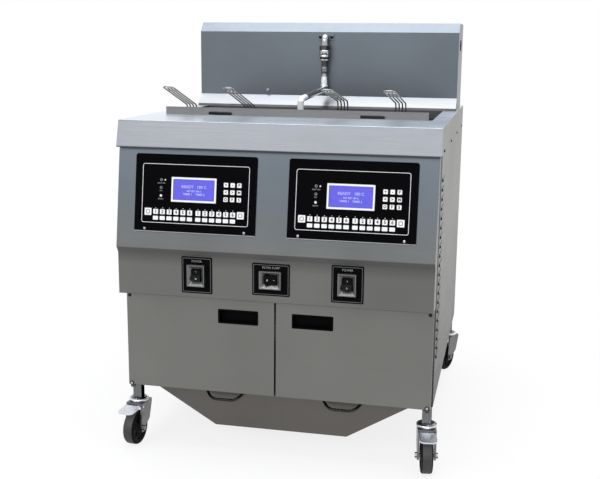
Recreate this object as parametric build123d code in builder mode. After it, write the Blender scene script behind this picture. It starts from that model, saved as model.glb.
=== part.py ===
from build123d import *
import os
from math import cos, radians, sin, tan

# Floor-standing electric fryer with two vats. Millimetres, +Z up, front towards -Y,
# origin on the floor below the middle of the body.

# Overall body
overall_width = 880
overall_depth = 1044
deck_height = 954
panel_bottom = 188
sheet = 1.5
deck_sheet = 2
bend_radius = 3
body_gap = 0.3
running_clearance = 0.05

half_width = overall_width / 2
front_y = -overall_depth / 2
back_y = overall_depth / 2
deck_under = deck_height - deck_sheet

# Worktop deck, its leaning apron and the sunk well
nose_overhang = 43
apron_drop = 73
apron_lean = 20.4
apron_lip = 15
deck_front_y = front_y + nose_overhang
apron_y = deck_front_y - apron_lean
apron_bottom = deck_height - apron_drop
well_half_width = 394
well_set_back = 246
well_length = 419
well_drop = 22
well_front_y = deck_front_y + well_set_back
well_back_y = well_front_y + well_length
well_floor = deck_height - well_drop

# Control console
console_inset = 2
control_tilt = 8.84
control_face_height = 301.5
control_tuck = 29
nose_return = 11
nose_drop = 17
strip_height = 118.5
console_flange = 30
control_top = apron_bottom + control_tuck
nose_height = control_top - control_face_height
console_bottom = nose_height - nose_drop - strip_height
console_half = half_width - console_inset
switch_y = front_y + nose_return
tilt_sin = sin(radians(control_tilt))
tilt_cos = cos(radians(control_tilt))
control_top_y = front_y + control_face_height * tan(radians(control_tilt))
control_slope = control_face_height / tilt_cos

# Control overlays and displays, measured along the leaning face from the nose
overlay_x = 215
overlay_width = 343
overlay_height = 213
overlay_drop = 0.1
overlay_rise = control_slope / 2 - overlay_drop
overlay_thickness = 3
overlay_corner = 7
display_width = 116
display_height = 57
display_shift_x = -4
display_shift_up = 11.5
display_recess = 1
display_border = 6
display_depth = 10
display_hole_gap = 1
overlay_screw_x = 141
overlay_screw_up = -98

# Rocker switches
switch_drop = 70.5
switch_x = 209
switch_z = nose_height - switch_drop
plate_thickness = 2
power_plate = (87, 102)
pump_plate = (104, 89)
housing_lift = 0.5
housing_size = (49, 60)
housing_proud = 13
housing_depth = 20
housing_rim = 2.5
housing_funnel = 9
neck_wall = 4
rocker_radius = 17
rocker_width = 25
rocker_valley = 6
rocker_tip = 9
rocker_back = 8
rocker_tilt = 10
rocker_clearance = 0.5
rocker_pin_radius = 2
rocker_pin_length = 2
rocker_proud = 1
rocker_pivot_y = switch_y - plate_thickness - rocker_proud

# Doors, pulls and hinges
door_set_back = 57
door_depth = 22
door_top_gap = 10.5
door_bottom = panel_bottom
door_top = console_bottom - door_top_gap
door_edge_gap = 4
door_centre_gap = 2
door_edge_radius = 2
door_y = front_y + door_set_back
door_outer = half_width - door_edge_gap
door_pivot_inset = 9
door_pivot_x = door_outer - door_pivot_inset
door_pivot_y = door_y + door_depth / 2
hinge_pin_radius = 3
hinge_pin_reach = 10
hinge_plate = 2.5
hinge_plate_gap = 1
hinge_plate_set_back = 2
hinge_plate_inner = 11
hinge_plate_outer = 4.5
hinge_bolt_radius = 7
hinge_bolt_height = 6.5
pull_x = 106
pull_drop = 50
pull_z = door_top - pull_drop
pull_width = 116
pull_height = 41
pull_flange = 3
pull_proud = 1.2
pull_depth = 18
pull_wall = 1.5

# Side and back panels
side_door_gap = 6
side_front_y = door_y + door_depth + side_door_gap
side_flange = 6
side_screw_drop = 68
side_screw_z = deck_height - side_screw_drop
louvre_count = 20
louvre_pitch = 25.7
louvre_length = 90
louvre_height = 6
louvre_drop = 567
louvre_bottom = side_screw_z - louvre_drop
louvre_set_back = 75
side_screw_count = 4
side_screw_margin = 60
vent_count = 9
vent_pitch = 26
vent_length = 240
vent_height = 8
vent_bottom = 400
vent_x = 190
cover_vent_count = 4
cover_vent_rise = 80
screw_head_radius = 4
screw_head_height = 2.5
hex_head_radius = 5.5
hex_head_height = 4.5

# Frame of square tube
tube = 25
tube_wall = 1.5
weld_gap = 0.3
leg_inset = 16
leg_x = half_width - leg_inset
front_leg_set_back = 101
back_leg_set_in = 57
front_leg_y = front_y + front_leg_set_back
back_leg_y = back_y - back_leg_set_in
caster_height = 136
swivel_gap = 0.5
leg_bottom = caster_height + swivel_gap
leg_plug = 40
rail_lift = 4
rail_bottom = panel_bottom + rail_lift

# Vats
vat_inner_x = 28
vat_outer_x = 392
vat_wall = 2
vat_front_margin = 18
vat_back_margin = 9
vat_front_y = well_front_y + vat_front_margin
vat_back_y = well_back_y - vat_back_margin
vat_depth = 289
vat_bottom = well_floor - vat_depth
vat_corner = 14
vat_flange_x = (2, 402)
vat_flange_margin = 3
spigot_radius = 21
spigot_length = 43
spigot_bore = 17
spigot_set_back = 65
spigot_y = vat_front_y + spigot_set_back

# Heating elements and temperature probes
heater_rise = 49
heater_z = vat_bottom + heater_rise
heater_radius = 4.25
heater_count = 3
heater_pitch = 112
heater_loop_width = 62
heater_bend = 30
heater_front_gap = 32
heater_plate = (330, 44)
heater_plate_thickness = 4
heater_tail = 26
probe_rise = 40
probe_z = heater_z + probe_rise
probe_radius = 3
probe_reach = 110
probe_boss_radius = 9
probe_boss_length = 14

# Baskets and their wire handles
basket_width = 158
basket_length = 330
basket_height = 150
basket_wall = 4
basket_corner = 10
basket_sink = 17
basket_top = well_floor - basket_sink
basket_front_gap = 8
basket_places = {"basket_1": -306, "basket_2": -136, "basket_3": 134, "basket_4": 302}
handle_places = {"basket_1": -319, "basket_2": -140, "basket_3": 135, "basket_4": 302}
handle_rises = {"basket_1": 65, "basket_2": 65, "basket_3": 86, "basket_4": 83}
handle_leans = {"basket_1": 3, "basket_2": -5, "basket_3": -8, "basket_4": -9}
wire_radius = 2
wire_pitch = 9.4
cross_wire_radius = 1.9
wire_weld = 0.4
handle_foot = 60
handle_bend_radius = 18
handle_loop_ease = 1
handle_tip_set_back = 52
handle_tip_y = deck_front_y + handle_tip_set_back
handle_tip_rise = 128
handle_tip_z = basket_top + handle_tip_rise
handle_inner_step = 14
handle_bar_drop = 40

# Splash guard
guard_half_width = 388
guard_shift = -4.5
guard_rise = 22
guard_top = deck_height + guard_rise
guard_gap = 1
guard_foot = 15
guard_slot_x = 225
guard_slot_length = 72
guard_slot_height = 10
guard_slot_drop = 17
guard_slot_z = guard_top - guard_slot_drop

# Splash back, cove and faucet
splash_half_width = 433
splash_set_back = 705
splash_y = deck_front_y + splash_set_back
splash_rise = 276
splash_top = deck_height + splash_rise
cap_drop = 30
cap_run = 28
splash_set_in = 81
splash_back_y = back_y - splash_set_in
splash_depth = splash_back_y - splash_y
cove_height = 38
splash_bolt_x = -198
splash_bolt_rise = 54
splash_bolt_z = deck_height + splash_bolt_rise
end_slot_drop = 70
end_slot_z = splash_top - end_slot_drop
end_slot_height = 35
end_slot_length = 80
faucet_drop = 46
faucet_z = splash_top - faucet_drop
faucet_reach = 27
faucet_y = splash_y - faucet_reach
faucet_radius = 11
faucet_bend = 14
faucet_flange = (54, 22)
faucet_flange_thickness = 3
faucet_bolt_x = 19
faucet_nut_across = 30
faucet_nut_height = 14
faucet_fall = 45
faucet_bottom = faucet_z - faucet_fall
spigot_pin_radius = 8
spigot_pin_length = 22
spigot_end_gap = 2
collar_radius = 16.5
collar_height = 34
collar_chamfer = 3
valve_radius = 10.5
valve_height = 20
valve_gap = 20
spout_radius = 10
pipe_radius = 8
spout_rise = 62
spout_arm_z = deck_height + spout_rise
spout_reach = 178
spout_shift = -40
spout_bend = 24
spout_bend_radius = 22
spout_slope = 26
spout_tip_gap = 4
spout_tip_z = deck_height + spout_tip_gap
spout_bore_depth = 30
spout_wall = 2

# Pump, motor and pipes
pump_size = (120, 100, 110)
pump_set_back = 74
pump_y = splash_y + pump_set_back
mid_rail_reach = 120
mid_rail_y = pump_y - mid_rail_reach
pump_base_thickness = 3
pump_base_margin = 30
pump_edge = 12
motor_radius = 72
motor_length = 210
motor_foot = (150, 120)
motor_lift = 20
motor_edge = 8
oil_pipe_radius = 8
oil_pipe_bend = 30
pipe_hole_gap = 3
return_hole_radius = 12
suction_reach = 35
suction_run = 33
suction_y = pump_y - pump_size[1] / 2 - suction_reach
suction_port_z = 40

# Filter pan, screen, handles and rails
coupling_radius = 12
coupling_length = 34
coupling_gap = 4
pan_length = 540
pan_back_y = suction_y - suction_run - coupling_gap - coupling_length
pan_front_y = pan_back_y - pan_length
pan_floor_half = 195
pan_shoulder_half = 372
pan_drop = 6.5
pan_wall_height = 17.5
pan_slope_height = 105
pan_top = panel_bottom - pan_drop
pan_shoulder = pan_top - pan_wall_height
pan_floor = pan_shoulder - pan_slope_height
pan_flange_half = 400
pan_rail_inner = 380
pan_rail_sheet = 2
screen_rise = 21
screen_z = pan_floor + screen_rise
screen_thickness = 3
screen_pitch = 24
screen_hole = 17
screen_margin = 16
screen_end_gap = 4
pickup_rise = 11
pickup_z = pan_floor + pickup_rise
pickup_radius = 7
pickup_inside = 110
pan_handle_x = 173
pan_handle_shift = 9.5
pan_handle_half = 60
pan_handle_bar_half = 36
pan_handle_drop = 11.5
pan_handle_fall = 21
pan_handle_top = pan_top - pan_handle_drop
pan_handle_bar_z = pan_handle_top - pan_handle_fall
pan_handle_reach = 28
pan_handle_radius = 4
pan_handle_bend = 32

# Drain valves and levers
valve_block = 64
valve_drop = 263
valve_block_z = vat_bottom - valve_drop
drain_pipe_radius = 19
drain_pan_gap = 22.5
drain_end = pan_top + drain_pan_gap
stem_radius = 7
stem_length = 26
lever_hub_radius = 13
lever_hub_length = 14
lever_length = 130
lever_width = 18
lever_thickness = 6

# Electrical box and cable gland
box_half_width = 330
box_set_back = 119
box_depth = 110
box_front_y = deck_front_y + box_set_back
box_back_y = box_front_y + box_depth
box_rise = 37
box_bottom = vat_bottom + box_rise
gland_x = 260
gland_z = 280
gland_bore = 15
gland_radius = 22
gland_flange_radius = 30
gland_flange = 4
gland_length = 34

# Casters
wheel_radius = 50
wheel_width = 32
wheel_edge = 5
hub_recess = 5
hub_rim_radius = 38
hub_boss_radius = 15
trail = 27
axle_radius = 5
axle_head_radius = 8
axle_head = 6
axle_overhang = 2
fork_gap = 4.5
fork_plate = 5.5
fork_top = 124
fork_crown = 5
fork_front = 30
fork_back = 30
fork_waist = (14, 66)
fork_foot = 13
fork_round = 5
swivel_head_radius = 27.5
swivel_ring = 7
swivel_step = 1
swivel_dome_radius = 21
kingpin_radius = 6
kingpin_length = 30
kingpin_end_gap = 2
pedal_pivot = (-23, 113)
pedal_pin_radius = 3
pedal_step = (-40, 118)
pedal_tip = (-94, 114)
pedal_thickness = 4
pedal_half_width = 24
pedal_side_gap = 1
pedal_round = 14
front_left_turn = -6
front_right_turn = 9
back_left_turn = 7
back_right_turn = -27


def keep(piece, name):
    """Labels a finished piece and writes it to its own file."""
    piece.part.label = name
    export_step(piece.part, f"parts/{name}.step")


def folded_profile(points, thickness=sheet):
    """Fills the active sketch with a folded sheet lying to the left of a line of points."""
    with BuildLine() as outline:
        FilletPolyline(*points, radius=bend_radius)
        offset(amount=thickness, side=Side.LEFT)
    make_face(outline.edges())


def bent_rod(points, radius, bends):
    """Adds a round rod along straight runs joined by tangent arcs to the active part."""
    with BuildLine() as path:
        FilletPolyline(*points, radius=bends)
    with BuildSketch(Plane(origin=path.line @ 0, z_dir=path.line % 0)) as section:
        Circle(radius)
    sweep(section.sketch, path=path.line)


def block(low, high, mode=Mode.ADD):
    """Adds or cuts a box between two corners in the active part."""
    size = [b - a for a, b in zip(low, high)]
    with Locations(tuple(low)):
        Box(*size, align=(Align.MIN, Align.MIN, Align.MIN), mode=mode)


def front_plane(x, y, z):
    """A plane that faces the front, with its own y axis up."""
    return Plane(origin=(x, y, z), x_dir=(1, 0, 0), z_dir=(0, -1, 0))


def control_plane(x, rise, proud=0):
    """A plane on the leaning control face, a distance up from the nose."""
    return Plane(
        origin=(x, front_y + rise * tilt_sin - proud * tilt_cos,
                nose_height + rise * tilt_cos + proud * tilt_sin),
        x_dir=(1, 0, 0), z_dir=(0, -tilt_cos, tilt_sin))


def turned_size(size, turned):
    """A width and height, swapped for a switch that lies on its side."""
    return size[::-1] if turned else size


os.makedirs("parts", exist_ok=True)

# Frame: four legs and the rails between them, each tube a cut length
with BuildPart() as frame:
    leg_top = deck_under
    rail_half = leg_x - tube / 2 - weld_gap
    side_span = back_leg_y - front_leg_y - tube - 2 * weld_gap
    tube_bore = tube - 2 * tube_wall
    leg_places = [(x, y) for x in (-leg_x, leg_x) for y in (front_leg_y, back_leg_y)]
    with Locations([(x, y, leg_bottom) for x, y in leg_places]):
        Box(tube, tube, leg_top - leg_bottom, align=(Align.CENTER, Align.CENTER, Align.MIN))
        Cylinder(kingpin_radius + running_clearance, kingpin_length + kingpin_end_gap,
                 align=(Align.CENTER, Align.CENTER, Align.MIN), mode=Mode.SUBTRACT)
    with Locations([(x, y, leg_bottom + leg_plug) for x, y in leg_places]):
        Box(tube_bore, tube_bore, leg_top - leg_bottom - leg_plug,
            align=(Align.CENTER, Align.CENTER, Align.MIN), mode=Mode.SUBTRACT)
    rail_levels = (rail_bottom + tube / 2, leg_top - tube / 2)
    middle_y = (front_leg_y + back_leg_y) / 2
    with Locations([(x, middle_y, z) for x in (-leg_x, leg_x) for z in rail_levels]):
        Box(tube, side_span, tube)
        Box(tube_bore, side_span, tube_bore, mode=Mode.SUBTRACT)
    cross_rails = [(0, y, z) for y in (front_leg_y, back_leg_y) for z in rail_levels]
    with Locations(cross_rails + [(0, mid_rail_y, rail_levels[0])]):
        Box(2 * rail_half, tube, tube)
        Box(2 * rail_half, tube_bore, tube_bore, mode=Mode.SUBTRACT)
keep(frame, "frame")

# Side panels with a bank of louvre slots near the front
for side, name in ((-1, "left_side_panel"), (1, "right_side_panel")):
    with BuildPart() as side_panel:
        panel_x = side * (half_width - sheet / 2)
        block((panel_x - sheet / 2, side_front_y, panel_bottom), (panel_x + sheet / 2, back_y, deck_under))
        flange_x = sorted((side * (half_width - sheet), side * (half_width - sheet - side_flange)))
        block((flange_x[0], side_front_y, panel_bottom), (flange_x[1], side_front_y + sheet, apron_bottom))
        louvre_y = side_front_y + louvre_set_back
        with Locations([(panel_x, louvre_y, louvre_bottom + i * louvre_pitch) for i in range(louvre_count)]):
            Box(2 * sheet, louvre_length, louvre_height, mode=Mode.SUBTRACT)
    keep(side_panel, name)

# Back panel with two vent banks and the cable entry
with BuildPart() as back_panel:
    back_half = half_width - sheet - body_gap
    block((-back_half, back_y - sheet, panel_bottom), (back_half, back_y, deck_under))
    vents = [(x, back_y, vent_bottom + i * vent_pitch) for x in (-vent_x, vent_x) for i in range(vent_count)]
    with Locations(vents):
        Box(vent_length, 4 * sheet, vent_height, mode=Mode.SUBTRACT)
    with BuildSketch(front_plane(gland_x, back_y, gland_z)):
        Circle(gland_radius + body_gap)
    extrude(amount=4 * sheet, both=True, mode=Mode.SUBTRACT)
keep(back_panel, "back_panel")

# Worktop deck: leaning apron, flat deck and the turned-down lip of the well
with BuildPart() as worktop_deck:
    with BuildSketch(Plane.YZ):
        folded_profile([(deck_front_y + apron_lip, deck_height), (deck_front_y, deck_height),
                        (apron_y, apron_bottom), (apron_y + apron_lip, apron_bottom)])
    extrude(amount=half_width, both=True)
    block((-half_width, deck_front_y + bend_radius, deck_under), (half_width, back_y, deck_height))
    lip_half = well_half_width + sheet
    block((-lip_half, well_front_y - sheet, well_floor), (lip_half, well_back_y + sheet, deck_height))
    block((-well_half_width, well_front_y, well_floor), (well_half_width, well_back_y, deck_height),
          Mode.SUBTRACT)
    for side in (-1, 1):
        with BuildSketch(Plane.YZ.offset(side * half_width)):
            with BuildLine():
                Polyline((deck_front_y, deck_under), (apron_y + sheet, apron_bottom + sheet),
                         (apron_y + apron_lip, apron_bottom), (side_front_y, apron_bottom),
                         (side_front_y, deck_under), close=True)
            make_face()
        extrude(amount=-side * sheet)
    with Locations((0, pump_y, deck_height)):
        Cylinder(return_hole_radius, 4 * deck_sheet, mode=Mode.SUBTRACT)
keep(worktop_deck, "worktop_deck")

# Control console: leaning face, nose, switch strip and end cheeks
rocker_opening = (rocker_width + 2 * rocker_clearance, 2 * rocker_radius + 2 * rocker_clearance)
neck = (rocker_opening[0] + 2 * neck_wall, rocker_opening[1] + 2 * neck_wall)
neck_hole = (neck[0] + 4 * body_gap, neck[1] + 4 * body_gap)
housing_z = switch_z + housing_lift
with BuildPart() as control_console:
    console_line = [(control_top_y, control_top), (front_y, nose_height),
                    (switch_y, nose_height - nose_drop), (switch_y, console_bottom),
                    (switch_y + console_flange, console_bottom)]
    with BuildSketch(Plane.YZ):
        folded_profile(console_line)
    extrude(amount=console_half, both=True)
    for side in (-1, 1):
        with BuildSketch(Plane.YZ.offset(side * console_half)):
            with BuildLine():
                Polyline(*[(y + sheet / 2, z) for y, z in console_line[:4]],
                         (side_front_y, console_bottom), (side_front_y, control_top), close=True)
            make_face()
        extrude(amount=-side * sheet)
        with BuildSketch(control_plane(side * overlay_x + display_shift_x, overlay_rise + display_shift_up)):
            hole_border = 2 * (display_border + display_hole_gap)
            Rectangle(display_width + hole_border, display_height + hole_border)
        extrude(amount=-4 * sheet, both=True, mode=Mode.SUBTRACT)
    for x, turned in ((-switch_x, False), (0, True), (switch_x, False)):
        with BuildSketch(front_plane(x, switch_y, housing_z)):
            Rectangle(*turned_size(neck_hole, turned))
        extrude(amount=4 * sheet, both=True, mode=Mode.SUBTRACT)
keep(control_console, "control_console")

# Black overlays with a window each
with BuildPart() as control_overlays:
    for side in (-1, 1):
        with BuildSketch(control_plane(side * overlay_x, overlay_rise)):
            RectangleRounded(overlay_width, overlay_height, overlay_corner)
            with Locations((display_shift_x, display_shift_up)):
                Rectangle(display_width, display_height, mode=Mode.SUBTRACT)
        extrude(amount=overlay_thickness)
keep(control_overlays, "control_overlays")

# Displays: glass in the window, module behind the face
with BuildPart() as displays:
    for side in (-1, 1):
        display_x = side * overlay_x + display_shift_x
        display_rise = overlay_rise + display_shift_up
        with BuildSketch(control_plane(display_x, display_rise)):
            Rectangle(display_width - 2 * body_gap, display_height - 2 * body_gap)
        extrude(amount=overlay_thickness - display_recess)
        with BuildSketch(control_plane(display_x, display_rise)):
            Rectangle(display_width + 2 * display_border, display_height + 2 * display_border)
        extrude(amount=-display_depth)
keep(displays, "displays")

# Switch plates, housings and rockers
switches = (("left_power", -switch_x, False, power_plate), ("pump", 0, True, pump_plate),
            ("right_power", switch_x, False, power_plate))

with BuildPart() as switch_plates:
    for _, x, turned, plate_size in switches:
        with BuildSketch(front_plane(x, switch_y, switch_z)):
            RectangleRounded(*plate_size, bend_radius)
            with Locations((0, housing_lift)):
                Rectangle(*turned_size(neck_hole, turned), mode=Mode.SUBTRACT)
        extrude(amount=plate_thickness)
keep(switch_plates, "switch_plates")

with BuildPart() as switch_housings:
    housing_back = switch_y - plate_thickness
    housing_front = housing_back - housing_proud
    for _, x, turned, _ in switches:
        rim = turned_size(housing_size, turned)
        hole = turned_size(rocker_opening, turned)
        with BuildSketch(front_plane(x, housing_front, housing_z)):
            Rectangle(*rim)
        extrude(amount=-housing_proud)
        with BuildSketch(front_plane(x, housing_back, housing_z)):
            Rectangle(*turned_size(neck, turned))
        extrude(amount=-housing_depth)
        with BuildSketch(front_plane(x, housing_front, housing_z)):
            Rectangle(rim[0] - 2 * housing_rim, rim[1] - 2 * housing_rim)
        with BuildSketch(front_plane(x, housing_front + housing_funnel, housing_z)):
            Rectangle(*hole)
        loft(ruled=True, mode=Mode.SUBTRACT)
        with BuildSketch(front_plane(x, housing_front + housing_funnel, housing_z)):
            Rectangle(*hole)
        extrude(amount=-2 * housing_depth, mode=Mode.SUBTRACT)
        with Locations((x, rocker_pivot_y, housing_z)):
            Cylinder(rocker_pin_radius + running_clearance, rocker_opening[0] + 2 * (rocker_pin_length + 1),
                     rotation=(0, 0, 0) if turned else (0, 90, 0), mode=Mode.SUBTRACT)
keep(switch_housings, "switch_housings")

for name, x, turned, _ in switches:
    axis_dir = (0, 0, 1) if turned else (1, 0, 0)
    up_dir = (1, 0, 0) if turned else (0, 0, 1)
    lean = radians(rocker_tilt)
    out_dir = Vector(0, -cos(lean), 0) + Vector(*up_dir) * sin(lean)
    rocker_plane = Plane(origin=(x, rocker_pivot_y, housing_z), x_dir=out_dir, z_dir=axis_dir)
    with BuildPart() as rocker:
        with BuildSketch(rocker_plane):
            Circle(rocker_radius)
            with BuildLine():
                Polyline((-rocker_back, -rocker_radius), (rocker_tip, -rocker_radius), (rocker_valley, 0),
                         (rocker_tip, rocker_radius), (-rocker_back, rocker_radius), close=True)
            make_face(mode=Mode.INTERSECT)
        extrude(amount=rocker_width / 2, both=True)
        with BuildSketch(rocker_plane):
            Circle(rocker_pin_radius)
        extrude(amount=rocker_width / 2 + rocker_clearance + rocker_pin_length, both=True)
    keep(rocker, f"{name}_rocker")

# Doors: folded trays with a cut-out for the pull and holes for the hinge pins
for side, name in ((-1, "left_door"), (1, "right_door")):
    edges_x = sorted((side * door_centre_gap, side * door_outer))
    with BuildPart() as door:
        block((edges_x[0], door_y, door_bottom), (edges_x[1], door_y + door_depth, door_top))
        fillet(door.faces().sort_by(Axis.Y)[0].edges(), door_edge_radius)
        offset(amount=-sheet, openings=door.faces().sort_by(Axis.Y)[-1])
        with BuildSketch(front_plane(side * pull_x, door_y, pull_z)):
            hole_inset = 2 * (pull_flange - body_gap)
            Rectangle(pull_width - hole_inset, pull_height - hole_inset)
        extrude(amount=2 * sheet, both=True, mode=Mode.SUBTRACT)
        with Locations((side * door_pivot_x, door_pivot_y, (door_bottom + door_top) / 2)):
            Cylinder(hinge_pin_radius + running_clearance, door_top - door_bottom + 2, mode=Mode.SUBTRACT)
    keep(door, name)
    with BuildPart() as door_pull:
        with BuildSketch(front_plane(side * pull_x, door_y, pull_z)):
            RectangleRounded(pull_width, pull_height, bend_radius)
        extrude(amount=pull_proud)
        with BuildSketch(front_plane(side * pull_x, door_y, pull_z)):
            Rectangle(pull_width - 2 * pull_flange, pull_height - 2 * pull_flange)
        extrude(amount=-pull_depth)
        cup_inside = 2 * (pull_flange + pull_wall)
        with BuildSketch(front_plane(side * pull_x, door_y - pull_proud, pull_z)):
            Rectangle(pull_width - cup_inside, pull_height - cup_inside)
        extrude(amount=-(pull_depth + pull_proud - pull_wall), mode=Mode.SUBTRACT)
    keep(door_pull, f"{name}_pull")

# Hinge brackets: a plate from each front leg with a pin into the door's edge
with BuildPart() as door_hinges:
    for side in (-1, 1):
        plate_x = sorted((side * (door_pivot_x - hinge_plate_inner),
                          side * (door_pivot_x + hinge_plate_outer)))
        low_z = door_bottom - hinge_plate_gap
        high_z = door_top + hinge_plate_gap
        plate_back = front_leg_y - tube / 2
        plate_front = door_y + hinge_plate_set_back
        block((plate_x[0], plate_front, low_z - hinge_plate), (plate_x[1], plate_back, low_z))
        block((plate_x[0], plate_front, high_z), (plate_x[1], plate_back, high_z + hinge_plate))
        with Locations((side * door_pivot_x, door_pivot_y, low_z)):
            Cylinder(hinge_pin_radius, hinge_pin_reach, align=(Align.CENTER, Align.CENTER, Align.MIN))
        with Locations((side * door_pivot_x, door_pivot_y, low_z - hinge_plate)):
            Cylinder(hinge_bolt_radius, hinge_bolt_height, align=(Align.CENTER, Align.CENTER, Align.MAX))
        with Locations((side * door_pivot_x, door_pivot_y, high_z)):
            Cylinder(hinge_pin_radius, hinge_pin_reach, align=(Align.CENTER, Align.CENTER, Align.MAX))
        with Locations((side * door_pivot_x, door_pivot_y, high_z + hinge_plate)):
            Cylinder(hinge_bolt_radius, hinge_bolt_height, align=(Align.CENTER, Align.CENTER, Align.MIN))
keep(door_hinges, "door_hinges")

# Vats: deep drawn pots with a rim flange, a drain spigot and holes for heaters and probe
vat_width = vat_outer_x - vat_inner_x
vat_x = (vat_outer_x + vat_inner_x) / 2
vat_y = (vat_front_y + vat_back_y) / 2
vat_length = vat_back_y - vat_front_y
heater_offsets = [(i - (heater_count - 1) / 2) * heater_pitch for i in range(heater_count)]
for side, name in ((-1, "left_vat"), (1, "right_vat")):
    with BuildPart() as vat:
        with Locations((side * vat_x, vat_y, well_floor)):
            Box(vat_width + 2 * vat_wall, vat_length + 2 * vat_wall, well_floor - vat_bottom + vat_wall,
                align=(Align.CENTER, Align.CENTER, Align.MAX))
        fillet(vat.edges().filter_by(Axis.Z), vat_corner + vat_wall)
        offset(amount=-vat_wall, openings=vat.faces().sort_by(Axis.Z)[-1])
        with BuildSketch(Plane.XY.offset(well_floor)):
            flange_mid = (side * (vat_flange_x[0] + vat_flange_x[1]) / 2, (well_front_y + well_back_y) / 2)
            with Locations(flange_mid):
                Rectangle(vat_flange_x[1] - vat_flange_x[0],
                          well_length + 2 * (sheet + vat_flange_margin))
            with Locations((side * vat_x, vat_y)):
                RectangleRounded(vat_width, vat_length, vat_corner, mode=Mode.SUBTRACT)
        extrude(amount=-sheet)
        with Locations((side * vat_x, spigot_y, vat_bottom)):
            Cylinder(spigot_radius, spigot_length, align=(Align.CENTER, Align.CENTER, Align.MAX))
            Cylinder(spigot_bore, 2 * spigot_length, mode=Mode.SUBTRACT)
        tube_ends = [side * vat_x + shift + end * heater_loop_width / 2
                     for shift in heater_offsets for end in (-1, 1)]
        with Locations([(x, vat_back_y, heater_z) for x in tube_ends]):
            Cylinder(heater_radius + body_gap, 6 * vat_wall, rotation=(90, 0, 0), mode=Mode.SUBTRACT)
        with Locations((side * vat_x, vat_back_y, probe_z)):
            Cylinder(probe_radius + body_gap, 6 * vat_wall, rotation=(90, 0, 0), mode=Mode.SUBTRACT)
    keep(vat, name)

# Heating elements: hairpin tubes on a terminal plate behind each vat
with BuildPart() as heaters:
    plate_front = vat_back_y + vat_wall
    for side in (-1, 1):
        block((side * vat_x - heater_plate[0] / 2, plate_front, heater_z - heater_plate[1] / 2),
              (side * vat_x + heater_plate[0] / 2, plate_front + heater_plate_thickness,
               heater_z + heater_plate[1] / 2))
        for shift in heater_offsets:
            left = side * vat_x + shift - heater_loop_width / 2
            right = left + heater_loop_width
            turn_y = vat_front_y + heater_front_gap
            bent_rod([(left, plate_front + heater_tail, heater_z), (left, turn_y, heater_z),
                      (right, turn_y, heater_z), (right, plate_front + heater_tail, heater_z)],
                     heater_radius, heater_bend)
keep(heaters, "heaters")

# Temperature probes through the back wall of each vat
with BuildPart() as temperature_probes:
    for side in (-1, 1):
        with Locations((side * vat_x, vat_back_y - probe_reach, probe_z)):
            Cylinder(probe_radius, probe_reach + vat_wall + probe_boss_length, rotation=(-90, 0, 0),
                     align=(Align.CENTER, Align.CENTER, Align.MIN))
        with Locations((side * vat_x, vat_back_y + vat_wall, probe_z)):
            Cylinder(probe_boss_radius, probe_boss_length, rotation=(-90, 0, 0),
                     align=(Align.CENTER, Align.CENTER, Align.MIN))
keep(temperature_probes, "temperature_probes")

# Splash guard: upright plate with two hand slots and a foot on the vat flanges
with BuildPart() as splash_guard:
    guard_y = well_front_y + guard_gap
    guard_ends = (guard_shift - guard_half_width, guard_shift + guard_half_width)
    block((guard_ends[0], guard_y, well_floor), (guard_ends[1], guard_y + sheet, guard_top))
    block((guard_ends[0], guard_y, well_floor), (guard_ends[1], guard_y + guard_foot, well_floor + sheet))
    with BuildSketch(front_plane(0, guard_y, guard_slot_z)):
        with Locations((-guard_slot_x, 0), (guard_slot_x, 0)):
            SlotOverall(guard_slot_length, guard_slot_height)
    extrude(amount=3 * sheet, both=True, mode=Mode.SUBTRACT)
keep(splash_guard, "splash_guard")

# Rear cove: sloping strip from the deck up to the splash back
with BuildPart() as rear_cove:
    cove_y = splash_y - cove_height
    cove_wall = sheet * 2 ** 0.5
    with BuildSketch(Plane.YZ):
        with BuildLine():
            Polyline((cove_y, deck_height), (cove_y + cove_wall, deck_height),
                     (splash_y, deck_height + cove_height - cove_wall),
                     (splash_y, deck_height + cove_height), close=True)
        make_face()
    extrude(amount=splash_half_width, both=True)
keep(rear_cove, "rear_cove")

# Splash back: face, sloped cap, top and ends in one folded shell, open behind and below
with BuildPart() as backsplash:
    with BuildSketch(Plane.YZ):
        with BuildLine():
            Polyline((splash_y, deck_height), (splash_y, splash_top - cap_drop),
                     (splash_y + cap_run, splash_top), (splash_back_y, splash_top),
                     (splash_back_y, deck_height), close=True)
        make_face()
    extrude(amount=splash_half_width, both=True)
    open_faces = [backsplash.faces().sort_by(Axis.Y)[-1], backsplash.faces().sort_by(Axis.Z)[0]]
    offset(amount=-sheet, openings=open_faces)
    with BuildSketch(front_plane(0, splash_y, faucet_z)):
        Circle(faucet_radius + body_gap)
    extrude(amount=3 * sheet, both=True, mode=Mode.SUBTRACT)
    with BuildSketch(Plane.YZ):
        with Locations((splash_y + splash_depth / 2, end_slot_z)):
            SlotOverall(end_slot_length, end_slot_height)
    extrude(amount=overall_width, both=True, mode=Mode.SUBTRACT)
keep(backsplash, "backsplash")

# Rear cover that closes the splash back from behind
with BuildPart() as rear_cover:
    block((-splash_half_width, splash_back_y, deck_height),
          (splash_half_width, splash_back_y + sheet, splash_top))
    vent_rows = [(x, splash_back_y, deck_height + cover_vent_rise + i * vent_pitch)
                 for x in (-vent_x, vent_x) for i in range(cover_vent_count)]
    with Locations(vent_rows):
        Box(vent_length, 4 * sheet, vent_height, mode=Mode.SUBTRACT)
keep(rear_cover, "rear_cover")

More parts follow.
